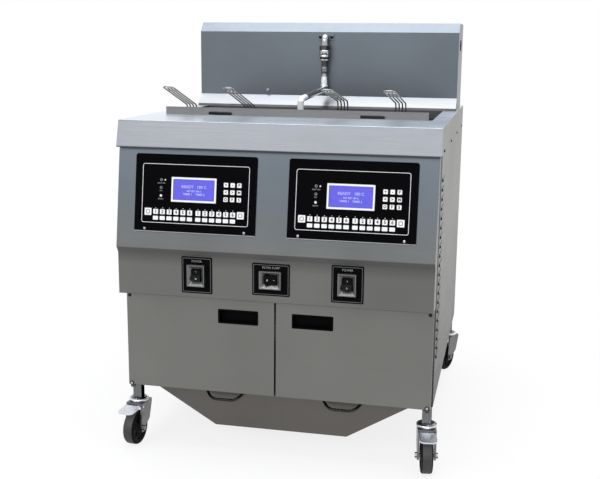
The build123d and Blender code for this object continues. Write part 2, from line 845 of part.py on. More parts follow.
# Faucet elbow: flange with two bolts, elbow, nut and the pin that the spout turns on
with BuildPart() as faucet_elbow:
    with BuildSketch(front_plane(0, splash_y, faucet_z)):
        RectangleRounded(*faucet_flange, bend_radius)
    extrude(amount=faucet_flange_thickness)
    with BuildSketch(front_plane(0, splash_y - faucet_flange_thickness, faucet_z)):
        with Locations((-faucet_bolt_x, 0), (faucet_bolt_x, 0)):
            RegularPolygon(hex_head_radius, 6)
    extrude(amount=hex_head_height)
    bent_rod([(0, splash_y + 4 * sheet, faucet_z), (0, faucet_y, faucet_z), (0, faucet_y, faucet_bottom)],
             faucet_radius, faucet_bend)
    with BuildSketch(Plane.XY.offset(faucet_bottom)):
        with Locations((0, faucet_y)):
            RegularPolygon(faucet_nut_across / 2, 6, major_radius=False)
    extrude(amount=faucet_nut_height)
    with Locations((0, faucet_y, faucet_bottom)):
        Cylinder(spigot_pin_radius, spigot_pin_length, align=(Align.CENTER, Align.CENTER, Align.MAX))
keep(faucet_elbow, "faucet_elbow")

# Oil spout: swivel collar, valve body, pipe and the bent tube that pours into either vat
with BuildPart() as oil_spout:
    collar_top = faucet_bottom - body_gap
    valve_top = collar_top - collar_height - valve_gap
    with Locations((0, faucet_y, collar_top)):
        Cylinder(collar_radius, collar_height, align=(Align.CENTER, Align.CENTER, Align.MAX))
    chamfer(oil_spout.edges().filter_by(GeomType.CIRCLE), collar_chamfer)
    with Locations((0, faucet_y, valve_top)):
        Cylinder(valve_radius, valve_height, align=(Align.CENTER, Align.CENTER, Align.MAX))
    with BuildSketch(Plane.XY.offset(valve_top)):
        with Locations((0, faucet_y)):
            RegularPolygon(valve_radius, 6, major_radius=False)
    extrude(amount=valve_gap / 2)
    with Locations((0, faucet_y, collar_top - collar_height)):
        Cylinder(pipe_radius, collar_top - collar_height - spout_arm_z - spout_bend,
                 align=(Align.CENTER, Align.CENTER, Align.MAX))
    tip = (spout_shift, faucet_y - spout_reach)
    bent_rod([(0, faucet_y, spout_arm_z + spout_bend), (0, faucet_y, spout_arm_z),
              (*tip, spout_arm_z - spout_slope), (*tip, spout_tip_z)],
             spout_radius, spout_bend_radius)
    with Locations((*tip, spout_tip_z)):
        Cylinder(spout_radius - spout_wall, 2 * spout_bore_depth, mode=Mode.SUBTRACT)
    with Locations((0, faucet_y, collar_top)):
        Cylinder(spigot_pin_radius + running_clearance, 2 * (spigot_pin_length + spigot_end_gap),
                 mode=Mode.SUBTRACT)
keep(oil_spout, "oil_spout")

# Baskets: closed solid with the outer shape of the wire basket, open at the top
basket_front = vat_front_y + basket_front_gap
for name, x in basket_places.items():
    with BuildPart() as basket:
        with Locations((x, basket_front + basket_length / 2, basket_top)):
            Box(basket_width, basket_length, basket_height, align=(Align.CENTER, Align.CENTER, Align.MAX))
        fillet(basket.edges().filter_by(Axis.Z), basket_corner)
        offset(amount=-basket_wall, openings=basket.faces().sort_by(Axis.Z)[-1])
    keep(basket, name)
    with BuildPart() as handle:
        wire_y = basket_front - wire_radius + wire_weld
        foot_z = basket_top - handle_foot
        bend_z = basket_top + handle_rises[name]
        rise = (handle_tip_z - bend_z) / (wire_y - handle_tip_y)
        lean = handle_leans[name] / (wire_y - handle_tip_y)
        for half, step in ((1.5 * wire_pitch, 0), (0.5 * wire_pitch, handle_inner_step)):
            left = handle_places[name] - half
            right = handle_places[name] + half
            tip_y = handle_tip_y + step
            tip_z = handle_tip_z - step * rise
            shift = lean * (wire_y - tip_y)
            bent_rod([(left, wire_y, foot_z), (left, wire_y, bend_z), (left + shift, tip_y, tip_z),
                      (right + shift, tip_y, tip_z), (right, wire_y, bend_z), (right, wire_y, foot_z)],
                     wire_radius, [handle_bend_radius, half - handle_loop_ease,
                                   half - handle_loop_ease, handle_bend_radius])
        bar_y = handle_tip_y + 3 * handle_inner_step
        bar_x = handle_places[name] + lean * (wire_y - bar_y)
        with Locations((handle_places[name], wire_y, foot_z + wire_radius),
                       (handle_places[name], wire_y, bend_z - handle_bar_drop),
                       (bar_x, bar_y, handle_tip_z - 3 * handle_inner_step * rise)):
            Cylinder(cross_wire_radius, 3 * wire_pitch, rotation=(0, 90, 0))
    keep(handle, f"{name}_handle")

# Filter pan: trough with sloping sides, hung by its side flanges
slope_run = (pan_shoulder_half - pan_floor_half) / (pan_shoulder - pan_floor)
with BuildPart() as filter_pan:
    with BuildSketch(Plane.XZ.offset(-pan_front_y)):
        with BuildLine():
            Polyline((-pan_floor_half, pan_floor), (pan_floor_half, pan_floor),
                     (pan_shoulder_half, pan_shoulder), (pan_shoulder_half, pan_top),
                     (-pan_shoulder_half, pan_top),
                     (-pan_shoulder_half, pan_shoulder), close=True)
        make_face()
    extrude(amount=-pan_length)
    offset(amount=-sheet, openings=filter_pan.faces().sort_by(Axis.Z)[-1])
    for side in (-1, 1):
        flange_x = sorted((side * (pan_shoulder_half - sheet), side * pan_flange_half))
        block((flange_x[0], pan_front_y, pan_top - sheet), (flange_x[1], pan_back_y, pan_top))
    with Locations((0, pan_back_y, pickup_z)):
        Cylinder(pickup_radius + running_clearance, 6 * sheet, rotation=(90, 0, 0), mode=Mode.SUBTRACT)
keep(filter_pan, "filter_pan")

# Pan handles: bent rods on the front wall
with BuildPart() as pan_handles:
    for x in (pan_handle_shift - pan_handle_x, pan_handle_shift + pan_handle_x):
        bar_y = pan_front_y - pan_handle_reach
        bent_rod([(x - pan_handle_half, pan_front_y, pan_handle_top),
                  (x - pan_handle_bar_half, bar_y, pan_handle_bar_z),
                  (x + pan_handle_bar_half, bar_y, pan_handle_bar_z),
                  (x + pan_handle_half, pan_front_y, pan_handle_top)], pan_handle_radius, pan_handle_bend)
    split(bisect_by=Plane.XZ.offset(-pan_front_y), keep=Keep.TOP)
keep(pan_handles, "pan_handles")

# Filter screen: perforated plate that rests on the pan's sloping sides
with BuildPart() as filter_screen:
    wall_run = sheet * (1 + slope_run ** 2) ** 0.5
    screen_half = pan_floor_half + (screen_z - pan_floor) * slope_run - wall_run - body_gap
    screen_length = pan_length - 2 * (sheet + screen_end_gap)
    with BuildSketch(Plane.XY.offset(screen_z)):
        with Locations((0, (pan_front_y + pan_back_y) / 2)):
            Rectangle(2 * screen_half, screen_length)
            columns = int((2 * screen_half - screen_margin) // screen_pitch)
            rows = int((screen_length - screen_margin) // screen_pitch)
            with GridLocations(screen_pitch, screen_pitch, columns, rows):
                Rectangle(screen_hole, screen_hole, mode=Mode.SUBTRACT)
    extrude(amount=screen_thickness)
keep(filter_screen, "filter_screen")

# Pick-up pipe under the screen, out through the pan's back wall to a push-in coupling
with BuildPart() as pickup_pipe:
    with Locations((0, pan_back_y - pickup_inside, pickup_z)):
        Cylinder(pickup_radius, pickup_inside + coupling_length, rotation=(-90, 0, 0),
                 align=(Align.CENTER, Align.CENTER, Align.MIN))
    with Locations((0, pan_back_y, pickup_z)):
        Cylinder(coupling_radius, coupling_length, rotation=(-90, 0, 0),
                 align=(Align.CENTER, Align.CENTER, Align.MIN))
keep(pickup_pipe, "pickup_pipe")

# Pan rails: angle strips under the lower side rails
with BuildPart() as pan_rails:
    rail_z = pan_top - sheet - body_gap
    web_x = leg_x - tube / 2 + pan_rail_sheet
    rail_y = (front_leg_y + tube / 2 + body_gap, back_leg_y - tube / 2 - body_gap)
    for side in (-1, 1):
        shelf = sorted((side * pan_rail_inner, side * (web_x + pan_rail_sheet)))
        web = sorted((side * web_x, side * (web_x + pan_rail_sheet)))
        block((shelf[0], rail_y[0], rail_z - pan_rail_sheet), (shelf[1], rail_y[1], rail_z))
        block((web[0], rail_y[0], rail_z - pan_rail_sheet), (web[1], rail_y[1], rail_bottom))
keep(pan_rails, "pan_rails")

# Drain valves under the vats, with a drop pipe that ends over the pan
valve_front_y = spigot_y - valve_block / 2
with BuildPart() as drain_valves:
    for side in (-1, 1):
        with Locations((side * vat_x, spigot_y, drain_end)):
            Cylinder(drain_pipe_radius, vat_bottom - spigot_length - drain_end,
                     align=(Align.CENTER, Align.CENTER, Align.MIN))
        with Locations((side * vat_x, spigot_y, valve_block_z)):
            Box(valve_block, valve_block, valve_block)
        with Locations((side * vat_x, valve_front_y, valve_block_z)):
            Cylinder(stem_radius, stem_length, rotation=(90, 0, 0),
                     align=(Align.CENTER, Align.CENTER, Align.MIN))
        with Locations((side * vat_x, spigot_y, drain_end)):
            Cylinder(spigot_bore, 2 * (valve_block_z - valve_block / 2 - drain_end), mode=Mode.SUBTRACT)
keep(drain_valves, "drain_valves")

# Drain levers on the valve stems, closed when level
for side, name in ((-1, "left_drain_lever"), (1, "right_drain_lever")):
    with BuildPart() as lever:
        lever_y = valve_front_y - stem_length / 2
        with Locations((side * vat_x, lever_y, valve_block_z)):
            Cylinder(lever_hub_radius, lever_hub_length, rotation=(90, 0, 0))
        with Locations((side * vat_x + lever_length / 2, lever_y, valve_block_z)):
            Box(lever_length, lever_thickness, lever_width)
        with Locations((side * vat_x + lever_length, lever_y, valve_block_z)):
            Cylinder(lever_width / 2, lever_thickness, rotation=(90, 0, 0))
        with Locations((side * vat_x, lever_y, valve_block_z)):
            Cylinder(stem_radius + running_clearance, 2 * lever_hub_length, rotation=(90, 0, 0),
                     mode=Mode.SUBTRACT)
    keep(lever, name)

# Pump motor on its base plate across the lower rails
base_z = rail_bottom + tube
with BuildPart() as pump_motor:
    motor_x = pump_size[0] / 2 + body_gap
    block((-pump_size[0] / 2 - pump_base_margin, mid_rail_y - tube / 2, base_z),
          (motor_x + motor_length + pump_base_margin, back_leg_y + tube / 2, base_z + pump_base_thickness))
    with Locations((0, suction_y, base_z)):
        Cylinder(oil_pipe_radius + pipe_hole_gap, 6 * pump_base_thickness, mode=Mode.SUBTRACT)
    motor_z = base_z + pump_base_thickness + pump_size[2] / 2 + motor_lift
    with Locations((motor_x, pump_y, motor_z)):
        Cylinder(motor_radius, motor_length, rotation=(0, 90, 0),
                 align=(Align.CENTER, Align.CENTER, Align.MIN))
    fillet(pump_motor.edges().filter_by(GeomType.CIRCLE).group_by(SortBy.LENGTH)[-1], motor_edge)
    foot_low = base_z + pump_base_thickness
    block((motor_x + (motor_length - motor_foot[0]) / 2, pump_y - motor_foot[1] / 2, foot_low),
          (motor_x + (motor_length + motor_foot[0]) / 2, pump_y + motor_foot[1] / 2, motor_z))
keep(pump_motor, "pump_motor")

# Filter pump beside the motor
with BuildPart() as filter_pump:
    pump_low = base_z + pump_base_thickness
    block((-pump_size[0] / 2, pump_y - pump_size[1] / 2, pump_low),
          (pump_size[0] / 2, pump_y + pump_size[1] / 2, pump_low + pump_size[2]))
    fillet(filter_pump.edges().filter_by(Axis.Z), pump_edge)
    with Locations((0, pump_y, pump_low + pump_size[2])):
        Cylinder(2 * oil_pipe_radius, oil_pipe_radius, align=(Align.CENTER, Align.CENTER, Align.MIN))
    with Locations((0, pump_y - pump_size[1] / 2, pump_low + suction_port_z)):
        Cylinder(2 * oil_pipe_radius, oil_pipe_radius, rotation=(90, 0, 0),
                 align=(Align.CENTER, Align.CENTER, Align.MIN))
keep(filter_pump, "filter_pump")

# Oil pipes: return pipe up to the faucet, suction pipe down to the pan's coupling
with BuildPart() as oil_pipes:
    bent_rod([(0, pump_y, pump_low + pump_size[2] + oil_pipe_radius), (0, pump_y, faucet_z),
              (0, splash_y + 4 * sheet, faucet_z)], oil_pipe_radius, oil_pipe_bend)
    port_y = pump_y - pump_size[1] / 2 - oil_pipe_radius
    coupling_y = pan_back_y + coupling_length + coupling_gap
    bent_rod([(0, port_y, pump_low + suction_port_z), (0, suction_y, pump_low + suction_port_z),
              (0, suction_y, pickup_z), (0, coupling_y, pickup_z)], oil_pipe_radius, 2 * oil_pipe_radius)
keep(oil_pipes, "oil_pipes")

# Electrical box under the deck, open towards the console
with BuildPart() as electrical_box:
    block((-box_half_width, box_front_y, box_bottom), (box_half_width, box_back_y, deck_under))
    offset(amount=-sheet, openings=electrical_box.faces().sort_by(Axis.Y)[0])
keep(electrical_box, "electrical_box")

# Cable gland on the back panel
with BuildPart() as cable_gland:
    with BuildSketch(front_plane(gland_x, back_y, gland_z)):
        Circle(gland_flange_radius)
    extrude(amount=-gland_flange)
    with BuildSketch(front_plane(gland_x, back_y, gland_z)):
        Circle(gland_radius)
    extrude(amount=gland_length)
    with BuildSketch(front_plane(gland_x, back_y, gland_z)):
        Circle(gland_bore)
    extrude(amount=2 * gland_length, both=True, mode=Mode.SUBTRACT)
keep(cable_gland, "cable_gland")

# Pan head screws on the overlays and side panels, and the lone bolt on the splash back
with BuildPart() as panel_screws:
    for side in (-1, 1):
        with BuildSketch(control_plane(side * overlay_x, overlay_rise, overlay_thickness)):
            with Locations((-overlay_screw_x, overlay_screw_up), (overlay_screw_x, overlay_screw_up)):
                Circle(screw_head_radius)
        extrude(amount=screw_head_height)
        screw_span = back_y - side_front_y - 2 * side_screw_margin
        for i in range(side_screw_count):
            screw_y = side_front_y + side_screw_margin + i * screw_span / (side_screw_count - 1)
            with Locations((side * half_width, screw_y, side_screw_z)):
                Cylinder(screw_head_radius, screw_head_height, rotation=(0, 90 * side, 0),
                         align=(Align.CENTER, Align.CENTER, Align.MIN))
    with BuildSketch(front_plane(splash_bolt_x, splash_y, splash_bolt_z)):
        RegularPolygon(hex_head_radius, 6)
    extrude(amount=hex_head_height)
keep(panel_screws, "panel_screws")


def caster_base(x, y, turn):
    """The floor point below a caster's swivel, turned about the upright axis."""
    return Plane(origin=(x, y, 0), x_dir=(cos(radians(turn)), sin(radians(turn)), 0), z_dir=(0, 0, 1))


def side_plane(base, x):
    """A plane square to a caster's axle, at a distance from the caster's middle."""
    return Plane(origin=base.from_local_coords((x, 0, 0)), x_dir=base.y_dir, z_dir=base.x_dir)


# Casters: fork with kingpin and axle, wheel, and a brake pedal on the front pair
fork_inner = wheel_width / 2 + fork_gap
fork_outer = fork_inner + fork_plate
casters = (("front_left", -leg_x, front_leg_y, front_left_turn, True),
           ("front_right", leg_x, front_leg_y, front_right_turn, True),
           ("rear_left", -leg_x, back_leg_y, back_left_turn, False),
           ("rear_right", leg_x, back_leg_y, back_right_turn, False))
for name, x, y, turn, braked in casters:
    base = caster_base(x, y, turn)
    with BuildPart(base) as fork:
        with Locations((0, 0, fork_top)):
            Cylinder(swivel_head_radius, swivel_ring, align=(Align.CENTER, Align.CENTER, Align.MIN))
        with Locations((0, 0, fork_top + swivel_ring)):
            Cone(swivel_head_radius - swivel_step, swivel_dome_radius, caster_height - fork_top - swivel_ring,
                 align=(Align.CENTER, Align.CENTER, Align.MIN))
        with Locations((0, 0, fork_top)):
            Cylinder(kingpin_radius, caster_height - fork_top + kingpin_length,
                     align=(Align.CENTER, Align.CENTER, Align.MIN))
        for inner in (-fork_outer, fork_inner):
            with BuildSketch(side_plane(base, inner)) as fork_side:
                with BuildLine():
                    Polyline((fork_back, fork_top), (-fork_front, fork_top),
                             (-trail - fork_foot, wheel_radius),
                             (-trail - fork_foot / 2, wheel_radius - fork_foot),
                             (-trail + fork_foot / 2, wheel_radius - fork_foot),
                             (-trail + fork_foot, wheel_radius), fork_waist,
                             (fork_back, fork_top - 2 * fork_crown), close=True)
                make_face()
                lower = fork_side.vertices().filter_by(lambda v: v.Y < fork_top - fork_crown)
                fillet(lower, fork_round)
                with Locations((-trail, wheel_radius)):
                    Circle(axle_radius + running_clearance, mode=Mode.SUBTRACT)
                if braked:
                    with Locations(pedal_pivot):
                        Circle(pedal_pin_radius + running_clearance, mode=Mode.SUBTRACT)
            extrude(amount=fork_plate)
        with Locations((0, (fork_back - fork_front) / 2, fork_top)):
            Box(2 * fork_outer, fork_back + fork_front, fork_crown,
                align=(Align.CENTER, Align.CENTER, Align.MAX))
        axle_half = fork_outer + axle_overhang
        with BuildSketch(side_plane(base, 0)):
            with Locations((-trail, wheel_radius)):
                Circle(axle_radius)
        extrude(amount=axle_half, both=True)
        for end in (-1, 1):
            with BuildSketch(side_plane(base, end * (fork_outer + running_clearance))):
                with Locations((-trail, wheel_radius)):
                    RegularPolygon(axle_head_radius, 6)
            extrude(amount=end * axle_head)
    keep(fork, f"{name}_fork")
    with BuildPart(base) as wheel:
        with BuildSketch(side_plane(base, 0)):
            with Locations((-trail, wheel_radius)):
                Circle(wheel_radius)
        extrude(amount=wheel_width / 2, both=True)
        fillet(wheel.edges().filter_by(GeomType.CIRCLE), wheel_edge)
        for end in (-1, 1):
            with BuildSketch(side_plane(base, end * wheel_width / 2)):
                with Locations((-trail, wheel_radius)):
                    Circle(hub_rim_radius)
                    Circle(hub_boss_radius, mode=Mode.SUBTRACT)
            extrude(amount=-end * hub_recess, mode=Mode.SUBTRACT)
        with BuildSketch(side_plane(base, 0)):
            with Locations((-trail, wheel_radius)):
                Circle(axle_radius + running_clearance)
        extrude(amount=wheel_width, both=True, mode=Mode.SUBTRACT)
    keep(wheel, f"{name}_wheel")
    if braked:
        with BuildPart(base) as pedal:
            runs = ((pedal_pivot, pedal_step, fork_inner - pedal_side_gap),
                    (pedal_step, pedal_tip, pedal_half_width))
            for (back, back_z), (front, front_z), half in runs:
                with BuildSketch(side_plane(base, 0)):
                    with BuildLine():
                        half_sheet = pedal_thickness / 2
                        Polyline((back, back_z - half_sheet), (front, front_z - half_sheet),
                                 (front, front_z + half_sheet), (back, back_z + half_sheet), close=True)
                    make_face()
                extrude(amount=half, both=True)
            tip_edges = pedal.edges().filter_by(Axis.Z).sort_by_distance(base.origin)[-2:]
            fillet(tip_edges, pedal_round)
            with BuildSketch(side_plane(base, 0)):
                with Locations(pedal_pivot):
                    Circle(pedal_pin_radius)
            extrude(amount=fork_outer, both=True)
        keep(pedal, f"{name}_pedal")
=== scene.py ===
import math

import bmesh
import bpy
from mathutils import Matrix, Vector


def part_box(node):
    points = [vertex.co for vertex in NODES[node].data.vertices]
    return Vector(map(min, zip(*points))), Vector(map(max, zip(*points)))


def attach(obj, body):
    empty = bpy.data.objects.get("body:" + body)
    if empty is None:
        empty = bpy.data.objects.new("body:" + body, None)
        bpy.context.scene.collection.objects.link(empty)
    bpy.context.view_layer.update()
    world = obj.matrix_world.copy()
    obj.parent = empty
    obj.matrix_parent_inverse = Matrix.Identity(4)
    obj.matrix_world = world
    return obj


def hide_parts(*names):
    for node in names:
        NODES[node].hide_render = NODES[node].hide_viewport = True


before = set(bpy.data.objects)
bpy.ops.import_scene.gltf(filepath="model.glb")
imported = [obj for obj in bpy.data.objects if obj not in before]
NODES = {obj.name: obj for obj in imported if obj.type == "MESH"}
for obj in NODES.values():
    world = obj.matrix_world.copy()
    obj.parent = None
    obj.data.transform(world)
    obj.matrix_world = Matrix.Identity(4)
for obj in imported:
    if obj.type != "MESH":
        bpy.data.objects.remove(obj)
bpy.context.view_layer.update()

bl_info = {
    "name": "Two-vat electric fryer",
    "version": (1, 0, 0),
    "blender": (4, 5, 0),
    "location": "3D View > Sidebar > Fryer",
    "description": "Dresses the fryer with wire baskets, printed controls, casters and finishes",
    "category": "Object",
}

MM = 0.001
CABINET = "cabinet"
SIDES = (-1, 1)

# Quarter turns that bring a turned piece's X axis to the front or upright
QUARTER = math.pi / 2
TO_FRONT = Matrix.Rotation(-QUARTER, 4, "Z")
TO_UPRIGHT = Matrix.Rotation(-QUARTER, 4, "Y")

# Leaning control face: the nose line, the lean, and where the overlays stand on it
NOSE = Vector((0, -0.522, 0.6085))
LEAN = math.radians(8.84)
FACE_UP = Vector((0, math.sin(LEAN), math.cos(LEAN)))
FACE_OUT = Vector((0, -math.cos(LEAN), math.sin(LEAN)))
OVERLAY_X = 0.215
OVERLAY_RISE = 0.1505
OVERLAY_PROUD = 0.003

# Middle of a display from the middle of its overlay, and its glass above the control face
DISPLAY_X = -0.004
DISPLAY_RISE = 0.0135
DISPLAY_PROUD = 0.002

# Thickness of flat prints, of raised trims, and the lift of words above their ground
PRINT = 0.2 * MM
RAISED = 0.3 * MM
WORD_LIFT = 0.1 * MM

# Switch strip: each switch's name, X, plate size and words
STRIP_Y = -0.511
PLATE_PROUD = 0.002
SWITCH_Z = 0.538
ROCKER_Z = 0.5385
ROCKER_PIVOT_Y = -0.514
ROCKER_TILT = math.radians(10)
SWITCHES = (
    ("left_power", -0.209, (0.087, 0.102), "POWER"),
    ("pump", 0.0, (0.104, 0.089), "FILTER PUMP"),
    ("right_power", 0.209, (0.087, 0.102), "POWER"),
)

# Outer faces of the side panels
SIDE_X = 0.44

# Casters: name, swivel X and Y, turn about the swivel in degrees
CASTERS = (
    ("front_left", -0.424, -0.421, -6),
    ("front_right", 0.424, -0.421, 9),
    ("rear_left", -0.424, 0.465, 7),
    ("rear_right", 0.424, 0.465, -27),
)
TRAIL = 0.027
WHEEL_RADIUS = 0.05

# Splash back's front, the spout's swivel line, the faucet's height and the spout's lower end
SPLASH_Y = 0.226
SPOUT_Y = 0.199
FAUCET_Z = 1.184
SPOUT_TIP = (-0.04, 0.021, 0.958)

# The camera's place and turns, and its lens for a picture 600 wide and 479 high
CAMERA_PLACE = Vector((0.60994, -2.93454, 1.16191))
CAMERA_YAW = math.radians(12.3586)
CAMERA_PITCH = math.radians(11.592)
CAMERA_ROLL = math.radians(0.5393)
CAMERA_LENS = 57.305
CAMERA_SENSOR = 36

# Edges sharper than this are shaded as creases on turned pieces and on rods
TURNED_CREASE = math.radians(35)
ROD_CREASE = math.radians(40)
BEND_STEPS = 8


def colour(name, description, default):
    """A colour setting for a property group."""
    return bpy.props.FloatVectorProperty(
        name=name, description=description, default=default, size=3, min=0, max=1, subtype="COLOR")


def length(name, description, default):
    """A length setting for a property group."""
    return bpy.props.FloatProperty(
        name=name, description=description, default=default, min=0, unit="LENGTH", precision=4)


def number(name, description, default):
    """A plain number setting for a property group."""
    return bpy.props.FloatProperty(name=name, description=description, default=default, min=0)


def power(name, description, default):
    """A lamp power setting for a property group."""
    return bpy.props.FloatProperty(name=name, description=description, default=default, unit="POWER")


class FryerFinishes(bpy.types.PropertyGroup):
    """Colours of the metals, plastics and paints."""
    sheet: colour("Sheet steel", "Brushed steel of the doors and panels", (0.178, 0.178, 0.170))
    upper: colour("Upper sheet", "Cooler tone of the brushed steel high up", (0.115, 0.131, 0.150))
    # Painted shade: the side panels darken towards their foot in this tone
    side: colour("Side sheet", "Painted shade: darker foot of the side panels", (0.056, 0.055, 0.053))
    apron: colour("Apron", "Leaning front apron of the worktop", (0.133, 0.137, 0.149))
    # Painted highlight: the worktop's upward faces take this far lighter tone than the same steel of the apron
    deck: colour("Painted deck highlight", "Painted highlight on the worktop's upward faces", (0.64, 0.69, 0.78))
    bright: colour("Bright sheet", "Smoother sheet of the cove", (0.19, 0.195, 0.205))
    guard: colour("Guard sheet", "Sheet of the splash guard", (0.158, 0.155, 0.153))
    vat: colour("Vat steel", "Oil darkened steel of the vats", (0.045, 0.043, 0.040))
    pan: colour("Pan steel", "Oil stained steel of the filter pan", (0.120, 0.113, 0.105))
    tube: colour("Frame tube", "Square tube of the legs and rails", (0.15, 0.155, 0.16))
    wire: colour("Basket wire", "Worn steel wire of the baskets and their handles", (0.30, 0.295, 0.28))
    # Also the base of painted shade: the legs' inner faces, the two darker basket handles and the upper door
    # bolts
    dark: colour("Dark steel", "Oil darkened rods, washers and bolts", (0.035, 0.034, 0.033))
    fitting: colour("Fittings", "Polished faucet, spout and screws", (0.44, 0.44, 0.45))
    housing: colour("Switch housings", "Satin metal frames of the rockers", (0.19, 0.19, 0.19))
    zinc: colour("Zinc plate", "Plated caster forks", (0.17, 0.17, 0.178))
    pedal: colour("Pedals", "Bright plated brake pedals", (0.74, 0.76, 0.82))
    rubber: colour("Rubber", "Side walls of the caster tyres", (0.004, 0.004, 0.0043))
    tread: colour("Tread", "Worn running face of the caster tyres", (0.026, 0.026, 0.027))
    black: colour("Black plastic", "Door pulls, switch plates and rockers", (0.0018, 0.0018, 0.0021))
    film: colour("Overlay film", "Dark film of the control overlays", (0.0015, 0.0015, 0.0018))
    paint: colour("Motor paint", "Paint on the pump motor", (0.05, 0.07, 0.11))
    cast: colour("Cast grey", "Pump and drain valve castings", (0.13, 0.135, 0.145))
    grip: colour("Lever grip", "Dipped grip of the drain levers", (0.32, 0.02, 0.015))


class FryerBaskets(bpy.types.PropertyGroup):
    """Sizes of the wire baskets."""
    wire: length("Wire radius", "Radius of the mesh wire", 0.0008)
    rim: length("Rim radius", "Radius of the top rim wire", 0.003)
    pitch: length("Mesh pitch", "Distance between two mesh wires", 0.008)
    corner: length("Corner radius", "Rounding of the basket's corners", 0.009)


class FryerControls(bpy.types.PropertyGroup):
    """Colours and sizes of the printed controls."""
    print_white: colour("White print", "Border lines, labels and key tops", (0.78, 0.78, 0.78))
    print_grey: colour("Grey print", "Small labels", (0.30, 0.30, 0.31))
    print_line: colour("Line print", "Border lines of the switch plates", (0.11, 0.11, 0.115))
    legend: colour("Key legend", "Digits and signs on the keys", (0.10, 0.02, 0.02))
    glass: colour("Display", "Lit background of the displays", (0.125, 0.117, 0.76))
    glass_text: colour("Display text", "Lit text on the displays", (0.50, 0.50, 0.98))
    key_rise: length("Key rise", "Height of a key above the film", 0.0006)
    line: length("Line width", "Width of the printed border", 0.0013)


class FryerStage(bpy.types.PropertyGroup):
    """Floor, backdrop and lamps."""
    floor: colour("Floor", "Pale studio floor", (0.86, 0.86, 0.86))
    room: number("Room light", "Strength of the even light from all round", 0.5)
    top_lamp: power("Top lamp", "Power of the large lamp overhead", 112)
    front_lamp: power("Front lamp", "Power of the lamp high in front", 132)
    side_lamp: power("Side lamp", "Power of the lamp on the right", 32)


class Wiring:
    """Adds and links the nodes of one node tree."""

    def __init__(self, tree):
        self.tree = tree

    def link(self, start, end):
        """Links an output to an input."""
        self.tree.links.new(start, end)

    def add(self, kind, inputs=None, **settings):
        """Adds a node, sets its options, then fills or links its inputs."""
        node = self.tree.nodes.new(kind)
        for key, value in settings.items():
            setattr(node, key, value)
        for key, value in (inputs or {}).items():
            if isinstance(value, bpy.types.NodeSocket):
                self.link(value, node.inputs[key])
            else:
                node.inputs[key].default_value = value
        return node

    def math(self, operation, *values):
        """A Math node's result."""
        return self.add("ShaderNodeMath", dict(enumerate(values)), operation=operation).outputs[0]

    def place(self):
        """The Object coordinates."""
        return self.add("ShaderNodeTexCoord").outputs["Object"]

    def normal(self):
        """The direction in which a face looks."""
        return self.add("ShaderNodeNewGeometry").outputs["Normal"]

    def axis(self, vector, which):
        """One of a vector's three values."""
        return self.add("ShaderNodeSeparateXYZ", {0: vector}).outputs[which]

    def vector(self, values):
        """A vector from values by axis number."""
        return self.add("ShaderNodeCombineXYZ", values).outputs[0]

    def noise(self, vector, scale, detail):
        """A noise value about one half."""
        return self.add("ShaderNodeTexNoise", {"Vector": vector, "Scale": scale, "Detail": detail}).outputs[0]

    def ramp(self, value, start=0.0, end=1.0, low=0.0, high=1.0):
        """A value's run from start to end, laid on a run from low to high."""
        return self.add("ShaderNodeMapRange", {
            "Value": value, "From Min": start, "From Max": end, "To Min": low, "To Max": high}).outputs[0]

    def mix(self, share, first, second):
        """A mix of two colours."""
        return self.add("ShaderNodeMix", {0: share, 6: first, 7: second}, data_type="RGBA").outputs[2]

    def scaled(self, tone, share):
        """A colour times a value."""
        return self.add("ShaderNodeVectorMath", {0: tone, 3: share}, operation="SCALE").outputs[0]

    def join(self, *parts):
        """Several geometries in one."""
        node = self.add("GeometryNodeJoinGeometry")
        for part in parts:
            self.link(part, node.inputs[0])
        return node.outputs[0]

    def eased(self, curve, radius, steps):
        """A curve with round corners."""
        return self.add("GeometryNodeFilletCurve",
                        {"Curve": curve, "Radius": radius, "Count": steps, "Limit Radius": True},
                        mode="POLY").outputs[0]

    def spread(self, points, shape, **more):
        """A shape set on every point."""
        return self.add("GeometryNodeInstanceOnPoints",
                        {"Points": points, "Instance": shape, **more}).outputs[0]


def open_group(name, kind, inputs, outputs):
    """Starts a node group with named sockets; returns its wiring, inputs and outputs."""
    tree = bpy.data.node_groups.new(name, kind)
    for socket_name, socket_kind, default in inputs:
        socket = tree.interface.new_socket(socket_name, in_out="INPUT", socket_type="NodeSocket" + socket_kind)
        if default is not None:
            socket.default_value = default
    for socket_name, socket_kind in outputs:
        tree.interface.new_socket(socket_name, in_out="OUTPUT", socket_type="NodeSocket" + socket_kind)
    wiring = Wiring(tree)
    given = wiring.add("NodeGroupInput").outputs
    result = wiring.add("NodeGroupOutput").inputs
    return wiring, given, result


def close_shape(wiring, given, result, geometry, smooth=True):
    """Ends a geometry tree: instances made real, shading and material set."""
    real = wiring.add("GeometryNodeRealizeInstances", {0: geometry}).outputs[0]
    shaded = wiring.add("GeometryNodeSetShadeSmooth", {"Geometry": real, "Shade Smooth": smooth}).outputs[0]
    painted = wiring.add("GeometryNodeSetMaterial", {"Geometry": shaded, "Material": given["Material"]})
    wiring.link(painted.outputs[0], result["Geometry"])
    return wiring.tree


# Shared surface effects

MID_GREY = (0.5, 0.5, 0.5, 1)
SURFACE = [("Color", "Color"), ("Roughness", "Float"), ("Height", "Float")]


